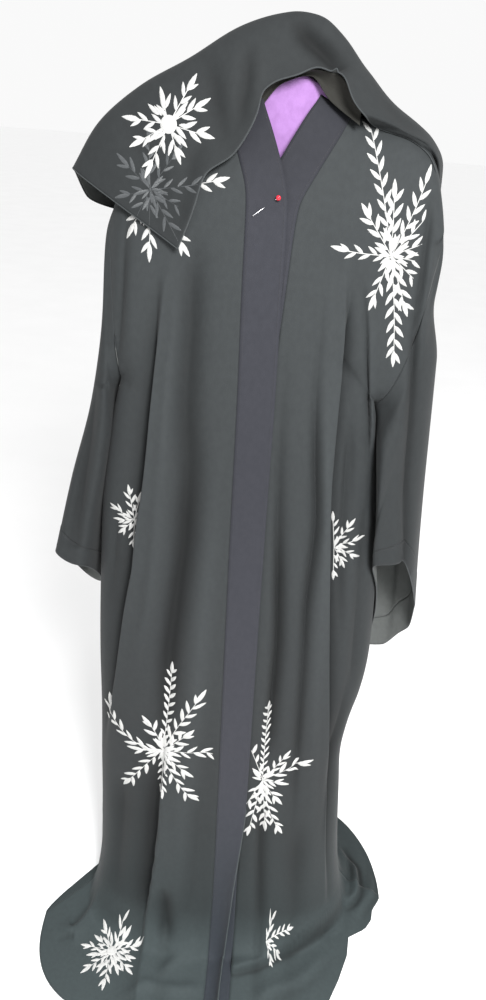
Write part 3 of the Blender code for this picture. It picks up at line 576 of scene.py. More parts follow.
LEFT_CREASES = rows_of(
    Crease,
    (0.009, 0.006, 0.013, 1.5, (
        (0.058, 1.22, 0), (0.063, 1.12, 0.3), (0.076, 1.014, 0.9), (0.089, 0.90, 1), (0.089, 0.80, 1),
        (0.096, 0.67, 0.8), (0.102, 0.555, 0.8), (0.108, 0.42, 0.4), (0.115, 0.30, 0),
    )),
    (0.012, 0.012, -0.005, 2.0, (
        (0.067, 1.27, 0), (0.080, 1.09, 0.7), (0.100, 0.91, 1), (0.112, 0.74, 1), (0.126, 0.56, 0.8),
        (0.140, 0.40, 0.3), (0.15, 0.25, 0),
    )),
    (0.008, 0.011, 0.017, 1.6, (
        (0.012, 1.16, 0), (0.017, 1.04, 0.3), (0.030, 0.90, 0.6), (0.040, 0.80, 1), (0.049, 0.68, 1),
        (0.051, 0.57, 1), (0.055, 0.45, 0),
    )),
    (0.010, 0.010, 0.012, 1.4, ((0.052, 0.40, 0), (0.057, 0.28, 1), (0.066, 0.16, 1), (0.074, 0.06, 0.7))),
    (0.022, 0.022, 0.008, 1.8, ((0.120, 0.34, 0), (0.130, 0.22, 1), (0.140, 0.10, 0.6))),
    (0.007, 0.009, 0.007, 1.6, ((0.118, 1.10, 0), (0.124, 1.02, 1), (0.136, 0.86, 1), (0.155, 0.70, 0))),
    (0.010, 0.012, 0.006, 1.6, ((0.160, 1.02, 0), (0.166, 0.90, 1), (0.180, 0.70, 1), (0.185, 0.60, 0))),
    (0.012, 0.010, 0.008, 1.6, (
        (0.176, 0.66, 0), (0.176, 0.55, 0.8), (0.172, 0.44, 1), (0.172, 0.36, 0.6), (0.180, 0.22, 0),
    )),
)
# Where the cloth laps over itself. over is 1 where the middle side lies on top.
RIGHT_PLEAT = Pleat(1, 0.004, 0.014, 0.020, 0.024, 0.005, (
    (-0.154, 1.285, 0), (-0.156, 1.235, 0.35), (-0.158, 1.17, 0.7), (-0.163, 1.065, 1), (-0.170, 0.97, 1),
    (-0.179, 0.90, 1), (-0.184, 0.83, 1), (-0.196, 0.754, 0.9), (-0.212, 0.631, 0.7), (-0.226, 0.54, 0.4),
    (-0.236, 0.44, 0.1), (-0.242, 0.34, 0),
))
RIGHT_LOW_PLEAT = Pleat(1, 0.007, 0.024, 0.021, 0.030, 0.003, (
    (-0.122, 0.56, 0), (-0.124, 0.46, 0.35), (-0.130, 0.366, 0.8), (-0.132, 0.263, 1), (-0.139, 0.151, 1),
    (-0.150, 0.05, 0.5),
))
LEFT_PLEAT = Pleat(1, 0.004, 0.014, 0.016, 0.015, 0.004, (
    (0.088, 1.30, 0), (0.090, 1.25, 0.3), (0.092, 1.20, 0.8), (0.094, 1.13, 1), (0.100, 0.986, 1),
    (0.115, 0.85, 1), (0.135, 0.679, 0.9), (0.158, 0.50, 0.8), (0.168, 0.40, 0.7), (0.185, 0.257, 0.5),
    (0.203, 0.12, 0.3), (0.212, 0.05, 0),
))
SLEEVE_PLEAT = Pleat(-1, 0.003, 0.020, 0.009, 0.012, 0.003, (
    (0.104, 1.295, 0), (0.112, 1.272, 0.3), (0.122, 1.245, 0.6), (0.134, 1.203, 0.9), (0.144, 1.150, 1),
    (0.150, 1.10, 0.8), (0.157, 1.04, 0.3), (0.160, 0.98, 0),
))
RIGHT_SLEEVE_CREASES = rows_of(
    Crease,
    (0.006, 0.007, 0.009, 1.5, (
        (-0.199, 1.36, 0), (-0.204, 1.30, 0.6), (-0.206, 1.25, 1), (-0.209, 1.197, 0.9), (-0.214, 1.15, 0.4),
        (-0.217, 1.12, 0),
    )),
    (0.007, 0.009, 0.007, 1.6, (
        (-0.242, 1.14, 0), (-0.251, 1.054, 1), (-0.264, 0.957, 1), (-0.277, 0.843, 0.6),
    )),
    (0.007, 0.007, 0.004, 1.6, ((-0.262, 1.02, 0), (-0.275, 0.94, 1), (-0.292, 0.84, 0.5))),
)
LEFT_SLEEVE_CREASES = rows_of(
    Crease,
    (0.006, 0.009, 0.012, 1.4, (
        (0.180, 1.390, 0), (0.181, 1.345, 0.6), (0.183, 1.305, 0.8), (0.186, 1.25, 1), (0.188, 1.20, 1),
        (0.199, 1.10, 1), (0.209, 1.00, 1), (0.226, 0.90, 1), (0.233, 0.84, 1),
    )),
)
BACK_CREASES = rows_of(
    Crease,
    (0.022, 0.020, 0.020, 1.4, (
        (-0.150, 1.34, 0), (-0.158, 0.95, 1), (-0.170, 0.55, 1), (-0.190, 0.06, 0.7),
    )),
    (0.020, 0.018, 0.015, 1.6, (
        (-0.080, 1.30, 0), (-0.086, 0.90, 1), (-0.092, 0.50, 1), (-0.100, 0.06, 0.7),
    )),
    (0.020, 0.022, 0.016, 1.7, (
        (-0.010, 1.26, 0), (-0.004, 0.95, 0.8), (-0.008, 0.50, 1), (0.002, 0.06, 0.7),
    )),
    (0.018, 0.020, 0.015, 1.6, ((0.066, 1.32, 0), (0.072, 0.95, 1), (0.084, 0.50, 1), (0.095, 0.06, 0.7))),
    (0.018, 0.020, 0.018, 1.4, ((0.120, 1.34, 0), (0.130, 0.95, 1), (0.146, 0.50, 1), (0.170, 0.06, 0.7))),
    (0.012, 0.012, 0.008, 1.7, ((0.030, 0.95, 0), (0.036, 0.60, 1), (0.046, 0.06, 0.6))),
    (0.010, 0.012, 0.008, 1.7, ((-0.120, 0.90, 0), (-0.128, 0.55, 1), (-0.142, 0.06, 0.6))),
    (0.012, 0.010, 0.006, 1.7, ((-0.048, 0.76, 0), (-0.050, 0.45, 1), (-0.052, 0.06, 0.6))),
    (0.014, 0.012, 0.009, 1.6, ((-0.200, 0.80, 0), (-0.208, 0.50, 1), (-0.220, 0.08, 0.6))),
    (0.012, 0.014, 0.008, 1.6, ((0.158, 0.84, 0), (0.168, 0.55, 1), (0.186, 0.08, 0.6))),
)
# Where the shawl's end on the right shoulder, an open roll, turns down behind its crest.
SHAWL_END_FALL = (-0.268, 0.030, 1.345)
# Folds on the shawl's front side, as (x, height, share of the depth) paths.
SHAWL_CREASES = rows_of(
    Crease,
    (0.011, 0.011, 0.013, 1.8, (
        (-0.014, 1.566, 0.2), (0.009, 1.546, 1), (0.030, 1.533, 1), (0.046, 1.522, 0.8),
    )),
    (0.009, 0.009, 0.006, 1.8, (
        (-0.064, 1.540, 0), (-0.062, 1.505, 1), (-0.064, 1.480, 1), (-0.067, 1.455, 0.6),
    )),
    (0.012, 0.012, 0.006, 1.8, (
        (-0.114, 1.525, 0), (-0.103, 1.495, 0.8), (-0.096, 1.470, 1), (-0.086, 1.440, 0.5),
    )),
    (0.010, 0.010, 0.004, 1.8, ((0.085, 1.515, 0), (0.120, 1.478, 0.8), (0.160, 1.452, 0.3))),
    (0.016, 0.016, 0.004, 1.8, (
        (-0.205, 1.470, 0), (-0.192, 1.430, 0.8), (-0.165, 1.385, 1), (-0.150, 1.34, 0.4),
    )),
    (0.009, 0.009, 0.004, 1.8, (
        (-0.110, 1.425, 0.6), (-0.122, 1.395, 1), (-0.128, 1.350, 0.7), (-0.133, 1.31, 0),
    )),
)
# Folds on its back side.
SHAWL_BACK_CREASES = rows_of(
    Crease,
    (0.020, 0.020, 0.011, 1.7, (
        (-0.018, 1.50, 0), (-0.030, 1.38, 1), (-0.036, 1.25, 1), (-0.036, 1.12, 0.8),
    )),
    (0.016, 0.016, 0.009, 1.6, ((0.030, 1.50, 0), (0.046, 1.38, 0.8), (0.058, 1.24, 1), (0.062, 1.12, 0.8))),
    (0.022, 0.022, 0.012, 1.7, (
        (-0.080, 1.46, 0), (-0.108, 1.36, 1), (-0.128, 1.24, 1), (-0.136, 1.14, 0.7),
    )),
    (0.018, 0.018, 0.010, 1.6, ((0.088, 1.44, 0), (0.124, 1.34, 0.9), (0.146, 1.22, 1), (0.152, 1.12, 0.7))),
    (0.016, 0.016, -0.006, 1.8, ((0.004, 1.44, 0), (0.010, 1.30, 1), (0.014, 1.12, 0.8))),
    (0.014, 0.014, -0.005, 1.8, ((-0.068, 1.40, 0), (-0.084, 1.28, 1), (-0.090, 1.13, 0.8))),
    (0.018, 0.018, 0.008, 1.7, ((-0.170, 1.42, 0), (-0.186, 1.36, 0.8), (-0.190, 1.29, 0.6))),
)
# The shawl's lower layer that shows under its edge at the neck: its two long sides.
SHAWL_UNDER = (
    (
        (-0.050, -0.028, 1.480), (-0.024, -0.026, 1.507), (0.012, -0.024, 1.515), (0.044, -0.027, 1.512),
        (0.079, -0.039, 1.480),
    ),
    (
        (-0.046, -0.018, 1.466), (-0.018, -0.016, 1.498), (0.014, -0.016, 1.508), (0.041, -0.024, 1.483),
        (0.079, -0.037, 1.459),
    ),
)
# The rim of the left sleeve's opening, from its outer side round the back: a level hem in front, lower
# behind.
LEFT_OPENING = (
    (0.280, 0.010, 0.745), (0.289, 0.050, 0.673), (0.276, 0.068, 0.640), (0.254, 0.078, 0.606),
    (0.232, 0.078, 0.604), (0.223, 0.070, 0.611), (0.221, 0.045, 0.660), (0.216, 0.012, 0.720),
    (0.204, -0.020, 0.790), (0.186, -0.052, 0.846), (0.1850, -0.062, 0.857), (0.209, -0.064, 0.862),
    (0.228, -0.062, 0.865), (0.234, -0.058, 0.860), (0.255, -0.035, 0.815),
)
# Folds of the hem on the floor, as (x, y) paths.
RIPPLES = rows_of(
    Ripple,
    (0.012, 0.012, 0.006, ((-0.117, -0.214), (-0.088, -0.176), (-0.033, -0.144))),
    (0.010, 0.010, 0.005, ((-0.176, -0.249), (-0.126, -0.218), (-0.073, -0.223), (-0.023, -0.215))),
    (0.018, 0.006, 0.010, ((-0.323, -0.136), (-0.288, -0.125), (-0.269, -0.098), (-0.253, -0.057))),
    (0.016, 0.010, 0.006, ((-0.230, -0.060), (-0.200, -0.095), (-0.165, -0.110))),
    (0.026, 0.005, 0.015, (
        (0.004, -0.174), (0.030, -0.178), (0.054, -0.172), (0.087, -0.158), (0.12, -0.139), (0.18, -0.102),
        (0.222, -0.060), (0.246, -0.010),
    )),
    (0.014, 0.010, 0.004, ((0.060, -0.240), (0.100, -0.210), (0.160, -0.180), (0.220, -0.120))),
    (0.014, 0.006, 0.016, ((0.262, 0.095), (0.284, 0.055), (0.285, 0.015), (0.268, -0.018), (0.245, -0.030))),
    (0.010, 0.008, 0.010, ((0.250, 0.120), (0.262, 0.080), (0.262, 0.045), (0.250, 0.020))),
    (0.012, 0.008, 0.007, ((0.318, 0.060), (0.318, 0.020), (0.300, -0.012), (0.275, -0.050))),
    (0.016, 0.016, 0.008, ((-0.270, 0.060), (-0.180, 0.170), (-0.060, 0.235), (0.080, 0.240))),
    (0.014, 0.014, 0.009, ((0.100, 0.240), (0.190, 0.190), (0.270, 0.110))),
)


def line_through(path, count=60):
    """A smooth line through a few points, evenly divided."""
    keys = np.arange(len(path), dtype=float)
    return through(keys, path, np.linspace(0, keys[-1], count))


def by_height(line, height, column, **ends):
    """One column of a line of (x, height, share) points, read at some heights."""
    return np.interp(-height, -line[:, 1], line[:, column], **ends)


def crease_place(grid, across, path):
    """Where a path lies in each row, as a length across the row, and its share of the depth there."""
    line = line_through(path)
    height = grid[:, :, 2].mean(axis=1)
    x = by_height(line, height, 0)
    share = by_height(line, height, 2, left=0.0)
    at = [np.interp(x[i], *rising(grid[i, :, 0], across[i])) for i in range(len(x))]
    return np.array(at), np.clip(share, 0, 1)


def creased(grid, outward, creases, still, painted_shading):
    """Moves a hanging grid in by each valley and out by each ridge, adding painted shade in the valleys and
    painted light on the ridges. still is 0 at a seam.
    """
    across = lengths(grid, 1)
    depth = np.zeros(across.shape)
    for crease in creases:
        at, share = crease_place(grid, across, crease.path)
        off = across - at[:, None]
        towards_middle = off * grid[:, :, 0] * (grid[:, -1:, 0] - grid[:, :1, 0]) < 0
        width = np.where(towards_middle, crease.inner, crease.outer)
        depth += crease.depth * share[:, None] * np.exp(-((np.abs(off) / width) ** crease.sharp))
    painted_shading += depth * still
    return grid - outward * (depth * still)[:, :, None]


PLEAT_TURN = 0.0025  # half the width over which a pleat's lip turns down
PLEAT_FADE = 0.012  # how much wider it turns where the pleat runs out


def pleated(grid, outward, pleat, still, painted_shading):
    """Laps the cloth over itself along a path: a raised lip on one side, a deep fold on the other, with
    painted light on the lip and painted shade in the fold.
    """
    across = lengths(grid, 1)
    at, share = crease_place(grid, across, pleat.path)
    off = (across - at[:, None]) * pleat.over
    ease = share[:, None] * still
    turn = PLEAT_TURN + PLEAT_FADE * (1 - share[:, None]) ** 2
    step = smooth_step(np.clip((off / turn + 1) / 2, 0, 1))
    deep = pleat.depth * np.exp(-((np.maximum(off, 0) / pleat.depth_width) ** 1.4)) * step
    lip = pleat.lip * np.exp(-((np.minimum(off, 0) / pleat.lip_width) ** 2)) * (1 - step)
    slide = pleat.tuck * share[:, None] * (
        np.exp(-(((off + turn) / (2 * turn)) ** 2)) - 0.5 * np.exp(-(((off - 2 * turn) / (2 * turn)) ** 2))
    )
    painted_shading += (deep - lip) * ease
    aside = unit(np.gradient(grid, axis=1))
    moved = grid + outward * ((lip - deep) * ease)[:, :, None]
    return moved + aside * (slide * ease * pleat.over)[:, :, None]


def sleeve_creased(grid, outward, creases, painted_shading):
    """Folds by x and height alone, pressed straight back where the cloth faces forward, their depth added as
    painted shade.
    """
    for crease in creases:
        line = line_through(crease.path)
        height = np.clip(grid[:, :, 2], line[-1, 1], line[0, 1])
        x = by_height(line, height, 0)
        share = by_height(line, grid[:, :, 2], 2, left=0.0, right=0.0)
        off = grid[:, :, 0] - x
        width = np.where(off * x > 0, crease.outer, crease.inner)
        facing = np.clip(-outward[:, :, 1] / 0.3, 0, 1)
        depth = crease.depth * share * facing * np.exp(-((np.abs(off) / width) ** crease.sharp))
        painted_shading += depth
        grid[:, :, 1] += depth


def plane_creased(grid, outward, creases, painted_shading, way=-1):
    """Folds across a cloth by x and height alone, on the side that faces forward, or back if way is 1, with
    painted shade in valleys and painted light on ridges.
    """
    depth = np.zeros(painted_shading.shape)
    facing = np.clip(outward[:, :, 1] * way / 0.25, 0, 1)
    for crease in creases:
        line = line_through(crease.path)
        gap = np.linalg.norm(grid[:, :, None, ::2] - line[None, None, :, :2], axis=3)
        share = line[gap.argmin(axis=2), 2]
        depth += crease.depth * share * facing * np.exp(-((gap.min(axis=2) / crease.inner) ** crease.sharp))
    painted_shading += depth
    return grid - outward * depth[:, :, None]


class Ground:
    """Cloths seen along one direction: finds the point and the outward normal over a plane point."""

    def __init__(self, grids, flat):
        self.flat = flat
        points, faces = [], []
        for grid in grids:
            rows, columns = grid.shape[:2]
            start = len(points)
            points.extend(Vector(point) for point in grid.reshape(-1, 3))
            for i in range(rows - 1):
                for j in range(columns - 1):
                    at = start + i * columns + j
                    faces.append((at, at + 1, at + columns + 1, at + columns))
        self.tree = BVHTree.FromPolygons(points, faces)

    def meets(self, u, v):
        start = Vector((u, v, 0.5)) if self.flat else Vector((u, -1.5, v))
        toward = Vector((0, 0, -1)) if self.flat else Vector((0, 1, 0))
        place_at, normal, _, _ = self.tree.ray_cast(start, toward)
        if place_at is None:
            return None
        return place_at, normal if normal.dot(toward) < 0 else -normal


def ringed(grid):
    """A grid of rings with its first column repeated at its end."""
    return np.concatenate([grid, grid[:, :1]], axis=1)


def closed_grid(name, grid):
    return ringed(grid) if name.startswith("sleeve") else grid


def rested(grid, cloths, gap):
    """Moves a cloth's points out of the cloths it lies on, up or forward, whichever is nearer."""
    ahead_of, above = Ground(cloths, False), Ground(cloths, True)
    moved = grid.copy()
    for i in range(grid.shape[0]):
        for j in range(grid.shape[1]):
            x, y, z = grid[i, j]
            front, top = ahead_of.meets(x, z), above.meets(x, y)
            if front is None or top is None:
                continue
            forward, rise = y - front[0].y + gap, top[0].z + gap - z
            if forward <= 0 or rise <= 0:
                continue
            if forward < rise:
                moved[i, j, 1] -= forward
            else:
                moved[i, j, 2] += rise
    return moved


SHAWL_GAP = 0.0032  # between the middles of the shawl and of the cloth under it
LAID_COLUMNS = 14  # of the shawl's front edge
LAID_REACH = 0.045  # how far the edge may stand off the cloth before it is laid close
LAID_FROM, LAID_OVER = 0.045, 0.020  # x where that begins, and the width over which it grows


def laid_close(grid, cloths):
    """Brings the shawl's front edge back onto the left shoulder."""
    ahead_of = Ground(cloths, False)
    for i in range(grid.shape[0]):
        for j in range(LAID_COLUMNS):
            x, y, z = grid[i, j]
            met = ahead_of.meets(x, z) if x > LAID_FROM else None
            if met and met[0].y - LAID_REACH < y < met[0].y:
                share = (1 - j / LAID_COLUMNS) ** 0.6 * min(1, (x - LAID_FROM) / LAID_OVER)
                grid[i, j, 1] += share * (met[0].y - SHAWL_GAP - y)
    return grid


def eased_seam(panel, sleeve, reach=0.034, even_over=0.014):
    """Runs the front of a panel and of its sleeve smoothly into each other across the armhole."""
    half = len(sleeve[0]) // 2
    front_is_later = sleeve[0, half + half // 2, 1] < sleeve[0, half // 2, 1]
    front_half = slice(half, None) if front_is_later else slice(0, half)
    seam = sleeve[0, front_half]
    taper = np.sin(np.linspace(0, math.pi, len(seam))) ** 0.5
    near, places, areas = [], [], []
    for part in (panel, sleeve[:, front_half]):
        gap = np.linalg.norm(part[:, :, None, ::2] - seam[None, None, :, ::2], axis=3)
        chosen = gap.min(axis=2) < reach * 2.4
        weight = np.exp(-((gap.min(axis=2) / reach) ** 2)) * taper[gap.argmin(axis=2)]
        area = np.linalg.norm(np.cross(np.gradient(part, axis=0), np.gradient(part, axis=1)), axis=2)
        near.append((part, chosen, weight))
        places.append(part[chosen])
        areas.append(area[chosen])
    source, area = np.concatenate(places), np.concatenate(areas)
    for part, chosen, weight in near:
        at = part[chosen]
        eased = np.empty(len(at))
        for k in range(0, len(at), 400):
            gap = np.linalg.norm(at[k : k + 400, None, ::2] - source[None, :, ::2], axis=2)
            share = np.exp(-((gap / even_over) ** 2)) * area
            eased[k : k + 400] = (share * source[None, :, 1]).sum(axis=1) / share.sum(axis=1)
        depth = part[:, :, 1]
        depth[chosen] += weight[chosen] * (eased - depth[chosen])


SHOULDER_RISE = 0.010
SHOULDER_DRAW = 0.014


def shoulder_raised(grid):
    """Lifts the left shoulder's outer part, which the shawl's weight leaves standing out."""
    share = ramped(grid[:, :, 0], 0.10, 0.15) * ramped(grid[:, :, 2], 1.26, 1.36)
    grid[:, :, 2] += SHOULDER_RISE * smooth_step(share)
    return grid


def shoulder_narrowed(grid):
    """Draws the left shoulder's outer part in under the shawl's weight."""
    out = smooth_step(ramped(grid[:, :, 0], 0.17, 0.23))
    high = smooth_step(ramped(grid[:, :, 2], 1.17, 1.26))
    grid[:, :, 0] -= SHOULDER_DRAW * out * high
    return grid


def opened(grid, rim, first):
    """Brings a sleeve's rings gradually to a rim; first is the share of the sleeve where that starts."""
    keys = np.arange(len(rim) + 1, dtype=float)
    closed = through(keys, rim + rim[:1], np.linspace(0, keys[-1], 600))
    change = even(closed, SIDES + 1)[:-1] - grid[-1]
    share = smooth_step(ramped(np.linspace(0, 1, len(grid)), first, 1))
    return grid + change[None] * share[:, None, None]


def rising(x, across):
    """A row's x and length across it, in rising order of x."""
    return (x, across) if x[-1] > x[0] else (x[::-1], across[::-1])


def lengths(grid, axis):
    """Length along each row (axis 1) or column (axis 0) of a grid, from its first point."""
    steps = np.linalg.norm(np.diff(grid, axis=axis), axis=2)
    start = np.zeros_like(np.take(steps, [0], axis=axis))
    return np.concatenate([start, np.cumsum(steps, axis=axis)], axis=axis)


def waved(grid, outward, swells, scale, seed, still):
    """Adds the small uneven swells of hanging cloth, longer down the cloth than across it."""
    across = lengths(grid, 1)
    down = lengths(grid, 0)
    amount = np.interp(DOWN, *zip(*swells))[:, None]
    swell = np.empty(across.shape)
    for i in range(swell.shape[0]):
        for j in range(swell.shape[1]):
            place_at = Vector((across[i, j] * scale[0], down[i, j] * scale[1], seed))
            swell[i, j] = noise.noise(place_at) + 0.45 * noise.noise(place_at * 2.3)
    return grid + outward * (swell * amount * still)[:, :, None]


def rippled(grid, painted_shading):
    """Raises the folds that lie on the floor, with painted shade at the foot of a fold's steep outer side.
    inner is a fold's width on the body's side.
    """
    low = ramped(grid[:, :, 2], 0.07, 0.03)
    for ripple in RIPPLES:
        line = line_through(ripple.path)
        off = grid[:, :, None, :2] - line[None, None, :, :]
        distance = np.sqrt((off**2).sum(axis=3))
        nearest = distance.argmin(axis=2)
        towards_point = np.take_along_axis(off, nearest[:, :, None, None], axis=2)[:, :, 0]
        away = (towards_point * line[nearest]).sum(axis=2) > 0
        width = np.where(away, ripple.outer, ripple.inner)
        taper = np.sin(np.clip(nearest / 16, 0.08, 1) * math.pi / 2)
        taper *= np.sin(np.clip((59 - nearest) / 16, 0.08, 1) * math.pi / 2)
        near = distance.min(axis=2)
        grid[:, :, 2] += low * taper * ripple.height * np.exp(-((near / width) ** 2))
        if ripple.outer < ripple.inner:
            foot = np.exp(-(((near - 2 * ripple.outer) / ripple.outer) ** 2))
            painted_shading += low * taper * away * ripple.height * 1.2 * foot
    return grid


def smoothed(grid, passes, axis=0):
    """Evens out the bend along one axis; the first and last points stay."""
    lines = grid if axis == 0 else grid.transpose(1, 0, 2)
    for _ in range(passes):
        lines[1:-1] += 0.25 * (lines[:-2] - 2 * lines[1:-1] + lines[2:])
    return grid


# ---------------------------------------------------------------- the cloth's grids

# How the rows are spaced down each panel, closer where the cloth bends.
DOWN = courses(rows_of(
    Course,
    (0.0, 0.03, 20),
    (0.03, 0.25, 76),
    (0.25, 0.86, 124),
    (0.86, 0.94, 60),
    (0.94, 1.0, 22),
))
FRONT_COLUMNS = 108
BACK_HALF_COLUMNS = 64
ROUGH_COLUMNS = 90
BAND_COLUMNS = 14
NECK_BAND_COLUMNS = 12
SIDES = 96  # round a sleeve
SHAWL_ROWS = 220
SHAWL_COLUMNS = 110
UNDER_ROWS = 60
UNDER_COLUMNS = 14
UNDER_SAG = 0.006  # how far the shawl's lower layer hangs back between its two sides
FORWARDS, BACKWARDS = slice(None), slice(None, None, -1)
LEFT_TRAIN = np.array([0.022, -0.018])  # how far the left front's hem trails out towards its corner
TRAIN_START = 0.925
# How far the cloth swells, by its share of the length, and how close together the swells lie across and
# down it.
FRONT_SWELLS = ((0.0, 0.0), (0.15, 0.0010), (0.5, 0.0030), (0.9, 0.0040), (1.0, 0.0030))
BACK_SWELLS = ((0.0, 0.0), (0.15, 0.0012), (0.5, 0.0035), (0.9, 0.0045), (1.0, 0.0030))
BAND_SWELLS = ((0.0, 0.0), (0.2, 0.0004), (0.6, 0.0012), (1.0, 0.0014))
PANEL_SWELL_SCALE = (9.0, 2.2)
BAND_SWELL_SCALE = (6.0, 2.0)
BACK_SEED = 7.7


def still_at_edges(count, first, last):
    """1 across a row, easing to 0 at its ends over the given shares of it, where a seam holds the cloth."""
    share = np.linspace(0, 1, count)[None, :]
    rise = np.clip(share / first, 0, 1) if first else np.ones_like(share)
    fall = np.clip((1 - share) / last, 0, 1) if last else np.ones_like(share)
    return smooth_step(rise) * smooth_step(fall)


# How far a front runs on level into the sleeve, by its share of the panel's length.
FLOWS = {
    RIGHT: ((0.0, 0.0), (1.0, 0.0)),
    LEFT: ((0.0, 0.0), (0.03, 1.0), (0.13, 1.0), (0.20, 0.0)),
}


def gathered_shares(middle, before, after):
    """Shares of a row's length, closer together round one place, which always falls on the same column."""
    def closer(count):
        run = np.linspace(0, 1, count)
        return 0.4 * run + 0.6 * (1 - (1 - run) ** 2)

    first = closer(before) * middle
    last = 1 - closer(after)[::-1] * (1 - middle)
    return np.concatenate([first, last[1:]])


def front_base(seam, crest, shape, side, pleat, before):
    """A front's rows, with the pleat on one column."""
    flow = np.interp(DOWN, *zip(*(FLOWS[side])))
    rough = panel_base(seam, crest, shape, side, -1, DOWN, ROUGH_COLUMNS, flow)
    across = lengths(rough, 1)
    at, _ = crease_place(rough, across, pleat.path)
    middle = at / across[:, -1]
    middle = smoothed(middle[:, None, None].copy(), 10)[:, 0, 0]
    grid = np.empty((len(DOWN), FRONT_COLUMNS, 3))
    for i in range(len(DOWN)):
        wanted = gathered_shares(middle[i], before, FRONT_COLUMNS - before + 1) * across[i, -1]
        grid[i] = np.stack([np.interp(wanted, across[i], rough[i, :, k]) for k in range(3)], axis=1)
    return smoothed(smoothed(grid, 8), 2, axis=1)


# Where the left sleeve rests against the front: height, x of the sleeve's inner side, and the share of the
# way by which the front comes out to it.
SLEEVE_REST = (
    (1.20, 0.160, 0.0), (1.15, 0.162, 0.7), (1.08, 0.157, 0.9), (1.04, 0.161, 0.85), (0.96, 0.172, 0.65),
    (0.90, 0.180, 0.5), (0.84, 0.187, 0.35), (0.74, 0.200, 0.0),
)
REST_LEVEL = -0.056


def beside_sleeve(grid):
    """Brings the left front forward where the sleeve rests against it."""
    height, side, share = np.array(SLEEVE_REST).T
    depth = grid[:, :, 1]
    inside = np.interp(-grid[:, :, 2], -height, side) - grid[:, :, 0]
    near = smooth_step(ramped(inside, 0.074, 0.028))
    before = smooth_step(ramped(inside, -0.004, 0.008))
    weight = np.interp(-grid[:, :, 2], -height, share) * near * before
    weight *= still_at_edges(FRONT_COLUMNS, 0, 0.05)
    depth += np.minimum(0, REST_LEVEL - depth) * weight
    return grid


# Painted shade by height on the fronts: more is darker, and below zero, where they lie on the floor, it is
# painted light.
HEIGHT_SHADE = (
    (0.0, -0.0100), (0.025, -0.0085), (0.09, 0.0055), (0.30, 0.0092), (0.50, 0.0078), (0.85, 0.0016),
    (1.20, -0.0010),
)
# Painted shade over the whole shawl and over the sleeves, and the shawl's painted shadow on the bands' upper
# part, full above the higher of these heights.
SHAWL_SHADE = 0.0085
SLEEVE_SHADE = 0.0050
SLEEVE_SHADE_REACH = 0.22  # share of the sleeve over which it comes in
BAND_TOP_SHADE = 0.0060
BAND_SHADE_HEIGHTS = (1.34, 1.42)
# The hem's line on the floor by the left side, as (y, x).
LEFT_HEM = (
    (-0.260, 0.180), (-0.219, 0.211), (-0.181, 0.231), (-0.131, 0.252), (-0.092, 0.259), (-0.072, 0.294),
    (-0.052, 0.309), (-0.029, 0.314), (0.0, 0.334),
)
HEM_DRAW_REACH = 0.07  # how far in from that line the cloth gives way


def drawn_in(grid, rim):
    """Brings the cloth by the left side in to its line on the floor."""
    y = grid[:, :, 1]
    now = np.interp(y, rim[:, 1], rim[:, 0])
    wanted = np.minimum(np.interp(y, *zip(*LEFT_HEM)), now)
    share = ramped(grid[:, :, 0], wanted - HEM_DRAW_REACH, now)
    low = ramped(grid[:, :, 2], 0.06, 0.02)
    grid[:, :, 0] -= (now - wanted) * smooth_step(share) * low


def front_grid(seam, shape, side, creases, pleats, before, seed):
    """A front. The first pleat falls on the column that has `before` columns up to it."""
    crest = shoulder_line(side, seam[0])
    grid = front_base(seam, crest, shape, side, pleats[0], before)
    if side == LEFT:
        grid = beside_sleeve(grid)
        along = ramped(DOWN, TRAIN_START, 1)[:, None]
        trail = along**1.5 * np.sin(np.linspace(0, math.pi, FRONT_COLUMNS))
        grid[:, :, :2] += trail[:, :, None] * LEFT_TRAIN
        drawn_in(grid, grid[-1][np.argsort(grid[-1, :, 1])])
    outward = normals_of(grid, side * -1)
    still = still_at_edges(FRONT_COLUMNS, 0.10, 0.12)
    painted_shading = np.zeros(grid.shape[:2])
    grid = creased(grid, outward, creases, still, painted_shading)
    for pleat in pleats:
        grid = pleated(grid, outward, pleat, still, painted_shading)
    grid = waved(grid, outward, FRONT_SWELLS, PANEL_SWELL_SCALE, seed, still)
    grid = rippled(settle(grid), painted_shading)
    # The fronts' painted shading: that of their folds, with painted shade and light by height.
    return grid, painted_shading + np.interp(grid[:, :, 2], *zip(*HEIGHT_SHADE))


def back_grid():
    """The back, as two halves joined in the middle."""
    halves = []
    for side, shape, seam in (
        (RIGHT, BACK_RIGHT_SHAPE, RIGHT_BAND_SEAM),
        (LEFT, BACK_LEFT_SHAPE, LEFT_BAND_SEAM),
    ):
        crest = np.concatenate([neckline(seam[0], 30)[:-1], shoulder_line(side, seam[0])])
        halves.append(smoothed(panel_base(BACK_MIDDLE, crest, shape, side, 1, DOWN, BACK_HALF_COLUMNS), 8))
    grid = np.concatenate([halves[0][:, :0:-1], halves[1]], axis=1)
    outward = normals_of(grid, 1)
    still = still_at_edges(grid.shape[1], 0.06, 0.06)
    painted_shading = np.zeros(grid.shape[:2])
    grid = creased(grid, outward, BACK_CREASES, still, painted_shading)
    grid = waved(grid, outward, BACK_SWELLS, PANEL_SWELL_SCALE, BACK_SEED, still)
    return rippled(settle(grid), painted_shading), painted_shading


# How far the right band turns up about its seam towards the hem, in degrees, by its share of the length.
BAND_TURN = ((0.70, 0.0), (0.80, 26.0), (0.88, 38.0), (0.95, 46.0), (1.0, 48.0))
BAND_GATHER = 0.28  # share of its width that the turned band loses where it is turned most


